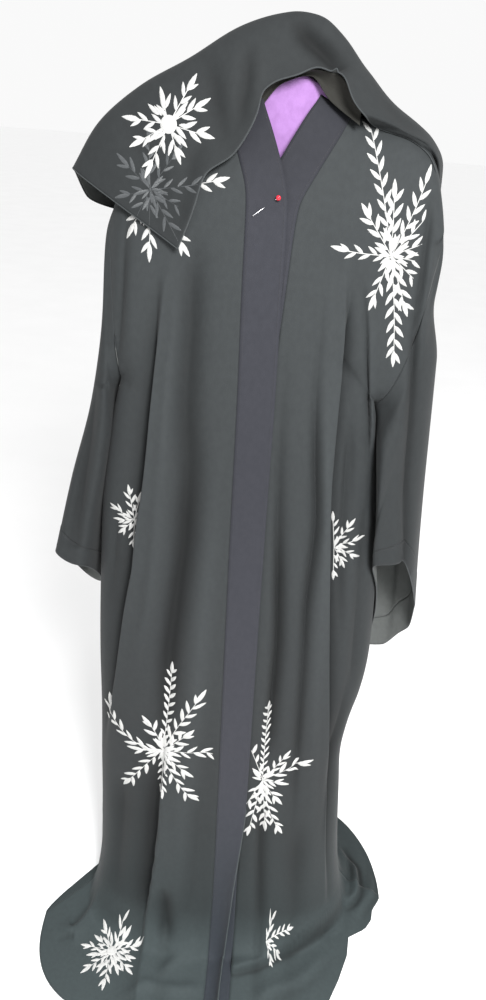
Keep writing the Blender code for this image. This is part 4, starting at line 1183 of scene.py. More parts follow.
def turned_up(grid):
    """Lifts the band's free edge off the cloth under it."""
    angle = np.radians(through(*zip(*BAND_TURN), DOWN))[:, None, None]
    aside = grid - grid[:, :1]
    outward = unit(np.cross(np.gradient(grid[:, 0], axis=0), grid[:, -1] - grid[:, 0]))
    outward *= np.sign(outward[:, 2] - outward[:, 1])[:, None]
    gather = 1 - BAND_GATHER * angle / angle.max()
    width = np.linalg.norm(aside, axis=2, keepdims=True) * gather
    aside = aside * gather
    curl = angle * width / BAND_WIDTH / gather
    return grid[:, :1] + aside * np.cos(curl) + outward[:, None] * width * np.sin(curl)


def front_band_grid(seam, edge, side, seed):
    """A front band; the right one turns up towards the hem."""
    grid = smoothed(band_points(seam, edge, side, DOWN, BAND_COLUMNS), 8)
    if side == RIGHT:
        grid = turned_up(grid)
    outward = normals_of(grid, side)
    grid = waved(grid, outward, BAND_SWELLS, BAND_SWELL_SCALE, seed, still_at_edges(BAND_COLUMNS, 0.35, 0))
    return settle(grid)


def neck_band_grid():
    """The band round the back of the neck."""
    right = neckline(RIGHT_BAND_SEAM[0], 40)[::-1]
    left = neckline(LEFT_BAND_SEAM[0], 40)
    seam = np.concatenate([right[:-1], left])
    free = place(NECK_BAND_EDGE, np.linspace(-1, 1, len(seam)))
    return between(seam, free, NECK_BAND_COLUMNS)


COVER_PUFF = 0.0120  # how far the cover stands above the hanger's neck
COVER_PUFF_WIDTH = 0.055
SLEEVE_RINGS = 110
CUFF_RINGS = 14
OPENING_START = 0.30  # share of the left sleeve from which it opens to its rim


def sleeve_grid(table, armhole):
    """A whole sleeve with its cuff: the last CUFF_RINGS rings are the cuff's."""
    angles = np.linspace(0, 2 * math.pi, 720, endpoint=False)
    cuff_start = 1 - CUFF_DEPTH / SLEEVE_LENGTH
    on_sleeve = np.linspace(0, cuff_start, SLEEVE_RINGS)
    on_cuff = np.linspace(cuff_start, 1, CUFF_RINGS)
    down = np.concatenate([on_sleeve, on_cuff[1:]])
    grid = smoothed(sleeve_points((armhole,) + table, down, angles), 6)
    if table is LEFT_SLEEVE:
        grid = opened(grid, LEFT_OPENING, OPENING_START)
    # Painted shade on the sleeve, coming in from the armhole.
    shade = ramped(down, 0, SLEEVE_SHADE_REACH)[:, None] * SLEEVE_SHADE
    return grid, np.repeat(shade, grid.shape[1], axis=1)


def ring_normals(grid):
    """Unit normals of a sleeve's rings, away from its middle."""
    along = np.gradient(grid, axis=0)
    aside = np.roll(grid, -1, axis=1) - np.roll(grid, 1, axis=1)
    normal = unit(np.cross(aside, along))
    away = ((grid - grid.mean(axis=1, keepdims=True)) * normal).sum(axis=2).mean()
    return normal * np.sign(away)


def cover_grid():
    """The cloth over the hanger's arms."""
    along = [row.along for row in COVER_SECTION]
    offset = through(along, [(row.y, row.drop) for row in COVER_SECTION], np.linspace(0, 1, 90))
    x = np.linspace(-COVER_HALF_WIDTH, COVER_HALF_WIDTH, 120)
    top = arm_top(x, CLOTH_WALL / 2 + COVER_LIFT) + COVER_PUFF * np.exp(-((x / COVER_PUFF_WIDTH) ** 4))
    grid = np.empty((len(x), len(offset), 3))
    grid[:, :, 0] = x[:, None]
    grid[:, :, 1] = offset[None, :, 0]
    grid[:, :, 2] = top[:, None] + offset[None, :, 1]
    return grid


# ---------------------------------------------------------------- materials


def new_material(name):
    made = bpy.data.materials.new(name)
    made.use_nodes = True
    return made, made.node_tree.nodes, made.node_tree.links


def set_inputs(node, values):
    for name, value in values.items():
        node.inputs[name].default_value = value


def new_node(nodes, kind, values=()):
    """A shader node with its inputs set by name."""
    made = nodes.new("ShaderNode" + kind)
    set_inputs(made, dict(values))
    return made


def grain(nodes, links, scale, detail, stretch=(1, 1, 1)):
    """A noise in the object's own metres."""
    coordinates = new_node(nodes, "TexCoord")
    mapping = new_node(nodes, "Mapping", {"Scale": stretch})
    texture = new_node(nodes, "TexNoise", {"Scale": scale, "Detail": detail})
    links.new(coordinates.outputs["Object"], mapping.inputs["Vector"])
    links.new(mapping.outputs["Vector"], texture.inputs["Vector"])
    return texture


def ramp(nodes, links, texture, dark, light):
    """The colours between dark and light that the texture picks."""
    blend = new_node(nodes, "ValToRGB")
    for element, position, colour in zip(blend.color_ramp.elements, (0.35, 0.65), (dark, light)):
        element.position = position
        element.color = (*colour, 1)
    links.new(texture.outputs["Fac"], blend.inputs["Fac"])
    return blend


def bump(nodes, links, texture, strength, distance, under=None):
    made = new_node(nodes, "Bump", {"Strength": strength, "Distance": distance})
    links.new(texture.outputs["Fac"], made.inputs["Height"])
    if under:
        links.new(under.outputs["Normal"], made.inputs["Normal"])
    return made


# Towards the hem the crepe's colour is multiplied by this: a little less red, a little more green and blue.
HEM_TINT = (0.90, 1.04, 1.03, 1.0)
TINT_FROM, TINT_TO = 0.45, 0.05  # heights where the hem's tint begins and where it is full


def lowness(nodes, links):
    """0 on the upper cloak and 1 at its hem."""
    coordinates = new_node(nodes, "TexCoord")
    parts = new_node(nodes, "SeparateXYZ")
    reach = {"From Min": TINT_FROM - HANG_HEIGHT, "From Max": TINT_TO - HANG_HEIGHT}
    low = new_node(nodes, "MapRange", reach)
    links.new(coordinates.outputs["Object"], parts.inputs["Vector"])
    links.new(parts.outputs["Z"], low.inputs["Value"])
    return low


def crepe(name, dark, light, sheen):
    """Crepe: a fine pebbled weave with a soft sheen, a little uneven in tone, darkened by painted shade and
    lightened by painted light from a point attribute of the mesh.
    """
    made, nodes, links = new_material(name)
    shader = nodes["Principled BSDF"]
    tone = grain(nodes, links, 140.0, 8.0, (1, 1, 0.7))
    painted_shading = new_node(nodes, "Attribute")
    painted_shading.attribute_name = "painted_shading"
    # Painted shading from the attribute, as a factor on the colour: at -0.5 it lightens by 1.18, at 1 it
    # darkens to 0.22.
    deep = new_node(nodes, "MapRange", {"From Min": -0.5, "To Min": 1.18, "To Max": 0.22})
    links.new(painted_shading.outputs["Fac"], deep.inputs["Value"])
    shade = new_node(nodes, "VectorMath")
    shade.operation = "SCALE"
    links.new(ramp(nodes, links, tone, dark, light).outputs["Color"], shade.inputs[0])
    links.new(deep.outputs["Result"], shade.inputs["Scale"])
    # The colour turns towards HEM_TINT towards the hem.
    hem_tint_mix = new_node(nodes, "Mix")
    hem_tint_mix.data_type = "RGBA"
    hem_tint_mix.blend_type = "MULTIPLY"
    hem_tint_mix.inputs["B"].default_value = HEM_TINT
    links.new(lowness(nodes, links).outputs["Result"], hem_tint_mix.inputs["Factor"])
    links.new(shade.outputs["Vector"], hem_tint_mix.inputs["A"])
    links.new(hem_tint_mix.outputs["Result"], shader.inputs["Base Color"])
    pebble = bump(nodes, links, grain(nodes, links, 1100.0, 2.0), 0.35, 0.0004)
    thread = bump(nodes, links, grain(nodes, links, 420.0, 3.0, (1, 1, 3)), 0.20, 0.0006, pebble)
    links.new(thread.outputs["Normal"], shader.inputs["Normal"])
    set_inputs(shader, {"Roughness": 0.82, "Specular IOR Level": 0.25})
    set_inputs(shader, {"Sheen Weight": sheen, "Sheen Roughness": 0.45})
    return made


def plain_finish(name, dark, light, roughness, scale, stretch=(1, 1, 1), metallic=0.0):
    """Wood, metal, glass or paper: two tones and a slight unevenness from one noise."""
    made, nodes, links = new_material(name)
    shader = nodes["Principled BSDF"]
    texture = grain(nodes, links, scale, 4.0, stretch)
    links.new(ramp(nodes, links, texture, dark, light).outputs["Color"], shader.inputs["Base Color"])
    links.new(bump(nodes, links, texture, 0.2, 0.0002).outputs["Normal"], shader.inputs["Normal"])
    set_inputs(shader, {"Roughness": roughness, "Metallic": metallic})
    return made


def satin_stitch(name, dark, light):
    """Glossy threads laid side by side at a slant across each leaf, by the leaf's own coordinates."""
    made, nodes, links = new_material(name)
    shader = nodes["Principled BSDF"]
    texture = grain(nodes, links, 260.0, 3.0)
    links.new(ramp(nodes, links, texture, dark, light).outputs["Color"], shader.inputs["Base Color"])
    coordinates = new_node(nodes, "UVMap")
    coordinates.uv_map = "stitch"
    turned = new_node(nodes, "Mapping", {"Rotation": (0, 0, math.radians(28))})
    threads = new_node(nodes, "TexWave", {"Scale": 620.0, "Distortion": 0.6})
    links.new(coordinates.outputs["UV"], turned.inputs["Vector"])
    links.new(turned.outputs["Vector"], threads.inputs["Vector"])
    links.new(bump(nodes, links, threads, 0.5, 0.0003).outputs["Normal"], shader.inputs["Normal"])
    set_inputs(shader, {"Roughness": 0.42, "Sheen Weight": 0.10, "Specular IOR Level": 0.45})
    return made


BLACK = crepe("black_crepe", (0.0270, 0.0305, 0.0320), (0.0300, 0.0340, 0.0355), 0.04)
BANDS = crepe("band_crepe", (0.0255, 0.0265, 0.0335), (0.0285, 0.0295, 0.0370), 0.04)
LILAC = crepe("lilac_cotton", (0.30, 0.155, 0.38), (0.34, 0.18, 0.43), 0.05)
WOOD = plain_finish("waxed_wood", (0.26, 0.15, 0.07), (0.42, 0.26, 0.14), 0.45, 60.0, (0.15, 1, 1))
STEEL = plain_finish("steel_wire", (0.48, 0.48, 0.50), (0.62, 0.62, 0.63), 0.28, 300.0, metallic=1.0)
# The wrong side of the black crepe, about four times lighter than its face: painted light in the shaded
# insides of the cuffs and of the shawl's roll.
WRONG_SIDE_PAINTED_LIGHT = crepe("crepe_wrong_side_painted_light", (0.112, 0.119, 0.116), (0.126, 0.134, 0.130), 0.04)
# The shawl's lower layer at the neck, darker and browner than the crepe: painted shade under the shawl's
# edge.
UNDER_LAYER_PAINTED_SHADE = crepe("crepe_under_layer_painted_shade", (0.0200, 0.0195, 0.0165), (0.0230, 0.0225, 0.0190), 0.04)
# The rolled hems and the bands' folds, lighter than the crepe: a painted highlight along the edges.
HEM_PAINTED_HIGHLIGHT = crepe("crepe_hem_painted_highlight", (0.038, 0.043, 0.045), (0.044, 0.049, 0.051), 0.10)
SEWING = plain_finish("sewing_thread", (0.012, 0.012, 0.014), (0.022, 0.022, 0.026), 0.6, 900.0)
THREAD = satin_stitch("embroidery_thread", (0.40, 0.40, 0.39), (0.46, 0.46, 0.45))
THREAD_UNDER = satin_stitch("thread_seen_through_cloth", (0.040, 0.044, 0.047), (0.050, 0.055, 0.058))
RED = plain_finish("red_bead", (0.50, 0.015, 0.03), (0.62, 0.03, 0.05), 0.15, 500.0)


# ---------------------------------------------------------------- pieces


# Scale of the painted shade and light passed to the crepe.
PAINTED_SHADING_SCALE = 0.02  # the depth of a fold that counts as fully dark


def faces_out(grid, ring):
    """True if the faces built from a grid look away from the body, or from the arm for a ring."""
    normal = np.cross(np.gradient(grid, axis=1), np.gradient(grid, axis=0))
    middle = grid.mean(axis=1, keepdims=True) if ring else grid * (0, 0, 1)
    return ((grid - middle) * normal).sum() > 0


def new_object(name, data):
    """An object in the scene."""
    made = bpy.data.objects.new(name, data)
    bpy.context.scene.collection.objects.link(made)
    return made


def sheet_piece(name, grid, wall, finish, nodes, ring=False, painted_shading=None):
    """A cloth from its grid, with a wall, its lengths as texture coordinates, and the node it stands for."""
    rows, columns = grid.shape[:2]
    points = (grid - (0, 0, HANG_HEIGHT)).reshape(-1, 3)
    span = columns if ring else columns - 1
    i, j = np.meshgrid(np.arange(rows - 1), np.arange(span), indexing="ij")
    k = (j + 1) % columns
    edge = np.stack([i * columns + j, i * columns + k], axis=-1)
    faces = np.concatenate([edge, edge[..., ::-1] + columns], axis=-1)
    mesh = bpy.data.meshes.new(name)
    mesh.from_pydata(points.tolist(), [], faces.reshape(-1, 4).tolist())
    closed = ringed(grid) if ring else grid
    across, down = lengths(closed, 1), lengths(closed, 0)
    spot = np.stack([i * closed.shape[1] + j, i * closed.shape[1] + j + 1], axis=-1)
    corners = np.concatenate([spot, spot[..., ::-1] + closed.shape[1]], axis=-1).reshape(-1)
    places = np.stack([across.reshape(-1)[corners], down.reshape(-1)[corners]], axis=1)
    mesh.uv_layers.new(name="cloth").data.foreach_set("uv", places.reshape(-1))
    # The painted shade and light from the folds and the shading tables go to the crepe as this point
    # attribute.
    tone = mesh.attributes.new("painted_shading", "FLOAT", "POINT")
    if painted_shading is not None:
        tone.data.foreach_set("value", np.clip(painted_shading / PAINTED_SHADING_SCALE, -0.5, 1).reshape(-1))
    mesh.shade_smooth()
    outwards = faces_out(closed, ring)
    # Black cloth takes that lighter crepe on its wrong side, as painted light in its shaded insides.
    wrong_side = WRONG_SIDE_PAINTED_LIGHT if finish is BLACK else finish
    for side in (finish, wrong_side) if outwards else (wrong_side, finish):
        mesh.materials.append(side)
    piece = new_object(name, mesh)
    solid = piece.modifiers.new("Wall", "SOLIDIFY")
    solid.thickness = wall
    solid.material_offset = 1
    solid.material_offset_rim = 0 if outwards else 1
    solid.offset = 0.0
    solid.use_even_offset = False
    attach(piece, "root")
    if nodes:
        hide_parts(*nodes)


def black_piece(name, grid, nodes, wall=CLOTH, ring=False, painted_shading=None):
    sheet_piece("cloth_" + name, grid, wall, BLACK, nodes, ring, painted_shading)


def build_body(charts, painted_shadings):
    """The fronts, the back and the sleeves with their cuffs, shaped together and then made piece by piece."""
    charts["front_right"], painted_shadings["front_right"] = front_grid(
        RIGHT_BAND_SEAM, FRONT_SHAPE, RIGHT, RIGHT_CREASES, (RIGHT_PLEAT, RIGHT_LOW_PLEAT),
        before=62, seed=1.3,
    )
    charts["front_left"], painted_shadings["front_left"] = front_grid(
        LEFT_BAND_SEAM, FRONT_LEFT_SHAPE, LEFT, LEFT_CREASES, (LEFT_PLEAT, SLEEVE_PLEAT),
        before=56, seed=4.1,
    )
    charts["back"], painted_shadings["back"] = back_grid()
    for name, table, armhole, folds, turned in (
        ("right", RIGHT_SLEEVE, RIGHT_ARMHOLE, RIGHT_SLEEVE_CREASES, 1),
        ("left", LEFT_SLEEVE, LEFT_ARMHOLE, LEFT_SLEEVE_CREASES, -1),
    ):
        sleeve, painted_shading = sleeve_grid(table, armhole)
        charts["sleeve_" + name], painted_shadings["sleeve_" + name] = sleeve, painted_shading
        front = charts["front_" + name]
        eased_seam(front, sleeve)
        sleeve_creased(front, normals_of(front, turned), folds, painted_shadings["front_" + name])
        sleeve_creased(sleeve, ring_normals(sleeve), folds, painted_shading)
    for name in ("front_left", "back", "sleeve_left"):
        charts[name] = shoulder_narrowed(shoulder_raised(charts[name]))
    for name, columns in (("front_right", BACKWARDS), ("front_left", FORWARDS), ("back", FORWARDS)):
        black_piece(name, charts[name][:, columns], [name], painted_shading=painted_shadings[name][:, columns])
    for name, columns in (("right", BACKWARDS), ("left", FORWARDS)):
        for piece, wall, rings in (
            ("sleeve_", CLOTH, slice(0, SLEEVE_RINGS)),
            ("cuff_", DOUBLED, slice(SLEEVE_RINGS - 1, None)),
        ):
            grid, painted_shading = (part["sleeve_" + name][rings, columns] for part in (charts, painted_shadings))
            black_piece(piece + name, grid, [piece + name], wall, ring=True, painted_shading=painted_shading)
            charts[piece + name + "_cut"] = grid


def build_bands(charts):
    """The two front bands and the neck band that joins them."""
    for name, seam, edge, side, seed in (
        ("band_right", RIGHT_BAND_SEAM, RIGHT_BAND_EDGE, RIGHT, 2.2),
        ("band_left", LEFT_BAND_SEAM, LEFT_BAND_EDGE, LEFT, 3.6),
    ):
        charts[name] = front_band_grid(seam, edge, side, seed)
        shown = charts[name] if side == RIGHT else charts[name][:, ::-1]
        # The shawl's painted shadow on the bands' upper part.
        shade = np.interp(shown[:, :, 2], BAND_SHADE_HEIGHTS, (0.0, BAND_TOP_SHADE))
        sheet_piece("cloth_" + name, shown, DOUBLED, BANDS, [name], painted_shading=shade)
    sheet_piece("cloth_band_neck", neck_band_grid(), DOUBLED, BANDS, ["band_neck"])


def build_shawl(charts):
    """The shawl, with painted shade over it, and the strip of its lower layer that shows at the neck, in a
    darker crepe as painted shade under the shawl's edge.
    """
    grid = shoulder_narrowed(shawl_points(np.linspace(0, 1, SHAWL_ROWS), np.linspace(0, 1, SHAWL_COLUMNS)))
    # Painted shade over the whole shawl, with that of its folds added below.
    painted_shading = np.full(grid.shape[:2], SHAWL_SHADE)
    outward = normals_of(grid, -1)
    grid = plane_creased(grid, outward, SHAWL_CREASES, painted_shading)
    grid = plane_creased(grid, outward, SHAWL_BACK_CREASES, painted_shading, way=1)
    covered = ("front_right", "front_left", "back", "sleeve_right", "sleeve_left")
    under = [closed_grid(name, charts[name]) for name in covered]
    grid = rested(laid_close(grid, under), under, SHAWL_GAP)
    charts["shawl"] = smoothed(smoothed(grid, 4), 4, axis=1)
    black_piece("shawl", charts["shawl"], ["shawl_right_end", "shawl_crown", "shawl_left_end"], painted_shading=painted_shading)
    sides = [through(np.arange(5.0), side, np.linspace(0, 4, UNDER_ROWS)) for side in SHAWL_UNDER]
    strip = between(*sides, UNDER_COLUMNS)
    strip[:, :, 1] += UNDER_SAG * np.sin(np.linspace(0, 1, UNDER_COLUMNS) * math.pi)
    sheet_piece("cloth_shawl_under", strip, CLOTH, UNDER_LAYER_PAINTED_SHADE, [])


def build_cloth():
    """Every cloth, as a piece. Returns the grids that other pieces are laid along, by name."""
    charts, painted_shadings = {}, {}
    build_body(charts, painted_shadings)
    build_bands(charts)
    build_shawl(charts)
    sheet_piece("cloth_hanger_cover", cover_grid(), CLOTH, LILAC, ["hanger_cover"])
    return charts


Sheet = namedtuple("Sheet", "name width length area held on pieces")
# Each cloth as cut and sewn: its greatest width and length and its area, how it is held, and what is sewn
# to it.
SHEETS = rows_of(
    Sheet,
    ("front_right", 0.460, 1.645, 0.454, "hung", ("cloth_hanger_cover",), (
        "hem_front_right", "embroidery_right_shoulder", "embroidery_right_waist", "embroidery_right_knee",
        "embroidery_right_hem",
    )),
    ("front_left", 0.475, 1.645, 0.420, "hung", ("cloth_hanger_cover",), (
        "hem_front_left", "embroidery_left_shoulder", "embroidery_left_waist", "embroidery_left_knee",
        "embroidery_left_hem",
    )),
    ("back", 1.000, 1.595, 0.842, "hung", ("cloth_hanger_cover",), ("hem_back",)),
    ("sleeve_right", 0.531, 0.504, 0.115, "hung", ("cloth_hanger_cover",), ()),
    ("sleeve_left", 0.636, 0.574, 0.166, "hung", ("cloth_hanger_cover",), ()),
    ("cuff_right", 0.440, 0.058, 0.0164, "hung", ("cloth_sleeve_right",), (
        "hem_cuff_right", "stitches_cuff_right",
    )),
    ("cuff_left", 0.676, 0.069, 0.0183, "hung", ("cloth_sleeve_left",), (
        "hem_cuff_left", "stitches_cuff_left",
    )),
    ("band_right", 0.060, 1.636, 0.086, "hung", ("cloth_front_right",), (
        "fold_band_right", "stitches_band_right",
    )),
    ("band_left", 0.052, 1.661, 0.085, "hung", ("cloth_front_left",), (
        "fold_band_left", "stitches_band_left",
    )),
    ("band_neck", 0.056, 0.190, 0.0066, "hung", ("cloth_back",), ()),
    ("shawl", 0.548, 0.773, 0.247, "draped", ("cloth_front_right", "cloth_front_left", "cloth_back"), (
        "hem_shawl", "embroidery_shawl", "embroidery_seen_through_shawl",
    )),
    ("shawl_under", 0.034, 0.162, 0.0033, "draped", ("cloth_hanger_cover",), ()),
    ("hanger_cover", 0.226, 0.335, 0.068, "draped", ("hanger",), ()),
)


def tube(points, radius, sides=6):
    """The points and faces of a round cord along a line."""
    run = unit(np.gradient(points, axis=0))
    aside = np.cross(run[0], (0.31, 0.22, 0.92))
    made, faces = [], []
    angles = np.arange(sides) * math.tau / sides
    for k, point in enumerate(points):
        aside = unit(aside - run[k] * (aside @ run[k]))
        up = np.cross(run[k], aside)
        made.extend(point + radius * (math.cos(a) * aside + math.sin(a) * up) for a in angles)
    for k in range(len(points) - 1):
        for j in range(sides):
            a, b = k * sides + j, k * sides + (j + 1) % sides
            faces.append((a, b, b + sides, a + sides))
    return made, faces


def sewn_on(name, mesh, finish):
    """A piece sewn onto the cloak."""
    mesh.shade_smooth()
    mesh.materials.append(finish)
    piece = new_object(name, mesh)
    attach(piece, "root")


def mesh_piece(name, parts, finish):
    """One piece from several sets of points and faces."""
    points, faces = [], []
    for made, joined in parts:
        faces.extend(tuple(len(points) + k for k in face) for face in joined)
        points.extend(tuple(point - (0, 0, HANG_HEIGHT)) for point in made)
    mesh = bpy.data.meshes.new(name)
    mesh.from_pydata(points, [], faces)
    sewn_on(name, mesh, finish)


HEM_RADIUS = 0.0009
FOLD_RADIUS = 0.0011
CUFF_HEM_RADIUS = 0.0010
FOLD_START = 0.70  # share of a band's length from which its fold shows as an edge
STITCH_RADIUS = 0.00025
STITCH_PITCH = 0.0042
STITCH_LENGTH = 0.0030
STITCH_MARGINS = (0.004, 0.006)  # left without stitches at the two ends of a row


def build_hems(charts):
    """The narrow rolled hems along the free edges, and the folds of the bands' edges, in a lighter crepe as a
    painted highlight.
    """
    shawl = charts["shawl"]
    edges = (shawl[:, 0], shawl[:, -1], shawl[0], shawl[-1])
    mesh_piece("hem_shawl", [tube(edge, HEM_RADIUS) for edge in edges], HEM_PAINTED_HIGHLIGHT)
    for name in ("front_right", "front_left", "back"):
        mesh_piece("hem_" + name, [tube(charts[name][-1], HEM_RADIUS)], HEM_PAINTED_HIGHLIGHT)
    for name in ("band_right", "band_left"):
        mesh_piece("fold_" + name, [tube(charts[name][DOWN > FOLD_START, -1], FOLD_RADIUS)], HEM_PAINTED_HIGHLIGHT)
    for name in ("cuff_right", "cuff_left"):
        rim = charts[name + "_cut"][-1]
        mesh_piece("hem_" + name, [tube(np.concatenate([rim, rim[:2]]), CUFF_HEM_RADIUS)], HEM_PAINTED_HIGHLIGHT)


def stitched(line, outward):
    """Short stitches along a line on a doubled cloth, just above it."""
    run = lengths(line[None], 1)[0]
    raised = line + outward * DOUBLED / 2
    parts = []
    for start in np.arange(STITCH_MARGINS[0], run[-1] - STITCH_MARGINS[1], STITCH_PITCH):
        ends = (start, start + STITCH_LENGTH)
        stitch = np.stack([np.interp(ends, run, raised[:, k]) for k in range(3)], axis=1)
        parts.append(tube(stitch, STITCH_RADIUS, 4))
    return parts


def build_stitching(charts):
    """The machine stitches beside the band seams and round the cuffs."""
    for name, side in (("band_right", RIGHT), ("band_left", LEFT)):
        grid = charts[name]
        outward = normals_of(grid, side)
        outward *= -np.sign(outward[:, :, 1].mean())
        parts = stitched(grid[:, 1], outward[:, 1]) + stitched(grid[:, -2], outward[:, -2])
        mesh_piece("stitches_" + name, parts, SEWING)
    for name in ("cuff_right", "cuff_left"):
        grid = charts[name + "_cut"]
        ring, outward = ringed(grid), ringed(ring_normals(grid))
        parts = stitched(ring[1], outward[1]) + stitched(ring[-2], outward[-2])
        mesh_piece("stitches_" + name, parts, SEWING)


# Along the pin from its head: how deep it runs, under a pinch of the band and out again at its point.
PIN_DEPTHS = (
    (0.0, 0.0), (0.08, 0.0006), (0.14, 0.0030), (0.50, 0.0034), (0.58, 0.0006), (0.62, 0.0), (1.0, -0.0010),
)
PIN_ENDS = ((-0.012, 1.372), (-0.042, 1.349))  # (x, height) of its head and of its point


def build_pin():
    """The ball-headed pin on the upper front band."""
    upper = np.linspace(0.04, 0.16, 240)
    band = band_points(RIGHT_BAND_SEAM, RIGHT_BAND_EDGE, RIGHT, upper, 60).reshape(-1, 3)
    ends = []
    for x, height in PIN_ENDS:
        under = np.hypot(band[:, 0] - x, band[:, 2] - height).argmin()
        ends.append(np.array([x, band[under, 1] - BAND_WALL / 2 - 2 * SEAM_GAP - PIN_SHAFT, height]))
    head = bpy.data.meshes.new("pin_head")
    solid = bmesh.new()
    bmesh.ops.create_icosphere(solid, subdivisions=3, radius=PIN_HEAD)
    solid.to_mesh(head)
    solid.free()
    head.materials.append(RED)
    head.shade_smooth()
    ball = new_object("pin_head", head)
    ball.location = ends[0] - (0, PIN_HEAD - PIN_SHAFT, HANG_HEIGHT)
    line = bpy.data.curves.new("pin_shaft", "CURVE")
    line.dimensions = "3D"
    line.bevel_depth = PIN_SHAFT
    line.bevel_resolution = 3
    line.use_fill_caps = True
    spline = line.splines.new("POLY")
    spline.points.add(len(PIN_DEPTHS) - 1)
    for point, (share, sunk) in zip(spline.points, PIN_DEPTHS):
        at = ends[0] + (ends[1] - ends[0]) * share
        point.co = (at[0], at[1] + sunk, at[2] - HANG_HEIGHT, 1)
    line.materials.append(STEEL)
    for piece in (ball, new_object("pin_shaft", line)):
        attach(piece, "root")
    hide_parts("pin")


# ---------------------------------------------------------------- embroidery

Spray = namedtuple("Spray", "name cloths flat centre disc leaf ring arms")
Arm = namedtuple("Arm", "length angle bend leaf", defaults=(1.0,))


def arms(*rows):
    return tuple(Arm(*row) for row in rows)


# Leafy sprays in satin stitch. centre is (x, height), or (x, y) where the cloth lies flat on the floor.
# Each arm has its length, its angle from +X and how far it turns on its way; ring is the number of leaves
# round the centre.
SPRAYS = (
    Spray("shawl", ("shawl",), False, (-0.153, 1.443), 0.011, 0.021, 11, arms(
        (0.066, 62, 0), (0.060, 33, 0), (0.060, -11, 0), (0.048, -67, 0), (0.069, -113, 0), (0.057, -149, 0),
        (0.061, 176, 0), (0.044, 109, 0),
    )),
    Spray("right_shoulder", ("front_right", "sleeve_right"), False, (-0.172, 1.369), 0.0, 0.021, 12, arms(
        (0.050, -163, 0), (0.070, -116, 0), (0.088, -89, 0), (0.094, -55, 0), (0.102, 12, 8), (0.060, -24, 0),
        (0.070, 55, 0), (0.075, 95, 0), (0.060, 140, 0),
    )),
    Spray("left_shoulder", ("front_left", "sleeve_left"), False, (0.138, 1.314), 0.0, 0.0215, 15, arms(
        (0.168, 107, 4), (0.076, 128, 0), (0.091, 95, 0), (0.116, 71, 8), (0.075, 52, 0), (0.080, 176, -14),
        (0.075, -105, 0), (0.084, -66, 0), (0.148, -80, -8), (0.060, 24, 0), (0.052, -8, 0), (0.062, -38, 0),
    )),
    Spray("right_waist", ("front_right",), False, (-0.187, 0.903), 0.0, 0.017, 8, arms(
        (0.044, 151, 0), (0.061, 99, 0), (0.050, 78, 0), (0.036, -1, 0), (0.052, -91, 0), (0.038, -132, 0),
        (0.034, 186, 0), (0.040, 35, 0), (0.040, -50, 0),
    )),
    Spray("left_waist", ("front_left",), False, (0.120, 0.882), 0.0, 0.017, 7, arms(
        (0.063, 99, 0), (0.057, 62, 0), (0.050, 20, 0), (0.048, -24, 0), (0.060, -84, 0), (0.044, -60, 0),
    )),
    Spray("right_knee", ("front_right",), False, (-0.129, 0.465), 0.0, 0.027, 13, arms(
        (0.185, 87, 4, 0.75), (0.165, 65, -8, 1.05), (0.138, 138, -85), (0.085, 116, 20), (0.085, 50, 0),
        (0.066, -176, 0), (0.112, -1, -50), (0.074, -38, 0), (0.128, -124, 10), (0.126, -56, 30),
        (0.104, -88, 0, 0.8),
    )),
    Spray("left_knee", ("front_left",), False, (0.050, 0.420), 0.0, 0.025, 9, arms(
        (0.165, 91, -4, 0.65), (0.100, 112, 6), (0.082, 58, 0, 0.8), (0.100, 30, -10, 1.1), (0.050, -10, 0),
        (0.070, -55, 10), (0.140, -97, 0), (0.130, -83, 0), (0.138, -70, 22), (0.110, -112, 0),
    )),
    Spray("right_hem", ("front_right",), True, (-0.206, -0.162), 0.010, 0.021, 12, arms(
        (0.066, 72, 0), (0.063, 20, 0), (0.062, -40, 0), (0.076, -93, 0), (0.070, -137, 0), (0.064, 173, 0),
        (0.060, 117, 0), (0.050, 50, 0), (0.050, -10, 0), (0.050, -65, 0), (0.050, -115, 0), (0.050, -165, 0),
        (0.050, 145, 0),
    )),
    Spray("left_hem", ("front_left",), True, (0.090, -0.138), 0.0, 0.013, 7, arms(
        (0.058, 25, 0), (0.034, 70, 0), (0.036, -22, 0), (0.034, -62, 0),
    )),
)
LEAF_WIDTH = 0.31  # of its length
LEAF_SPACING = 0.42  # of a leaf's length, along the stem
LEAF_TURN = 32  # degrees off the stem
TIP_SIZE = 1.15  # of the leaf at a stem's end
# Place along the leaf and share of its width there.
LEAF_ROWS = ((0.08, 0.42), (0.24, 0.86), (0.46, 1.00), (0.70, 0.74), (0.88, 0.32))
LEAF_HEIGHTS = (0.0, 0.92, 0.50, 0.92, 0.0)
SATIN_HEIGHT = 0.0010
SATIN_SUNK = 0.0003
GHOST_HEIGHT = 0.0002  # of the embroidery that shows through the shawl
PATCH_REACH = 0.045  # a patch of stitches that would span more than this runs over a fold's edge
STEM_WIDTH = 0.0016
STEM_STEP = 0.005
STEM_OVERLAP = 0.0004
DISC_ROWS = ((0.4, 1.0), (0.8, 0.9), (1.0, 0.0))  # share of the radius and of the height
DISC_SIDES = 20


def towards(heading):
    """The unit vectors along a heading and to the left of it."""
    forward = np.array([math.cos(heading), math.sin(heading)])
    return forward, np.array([-forward[1], forward[0]])


def point_at(at, run, line):
    return np.array([np.interp(at, run, line[:, k]) for k in range(2)])


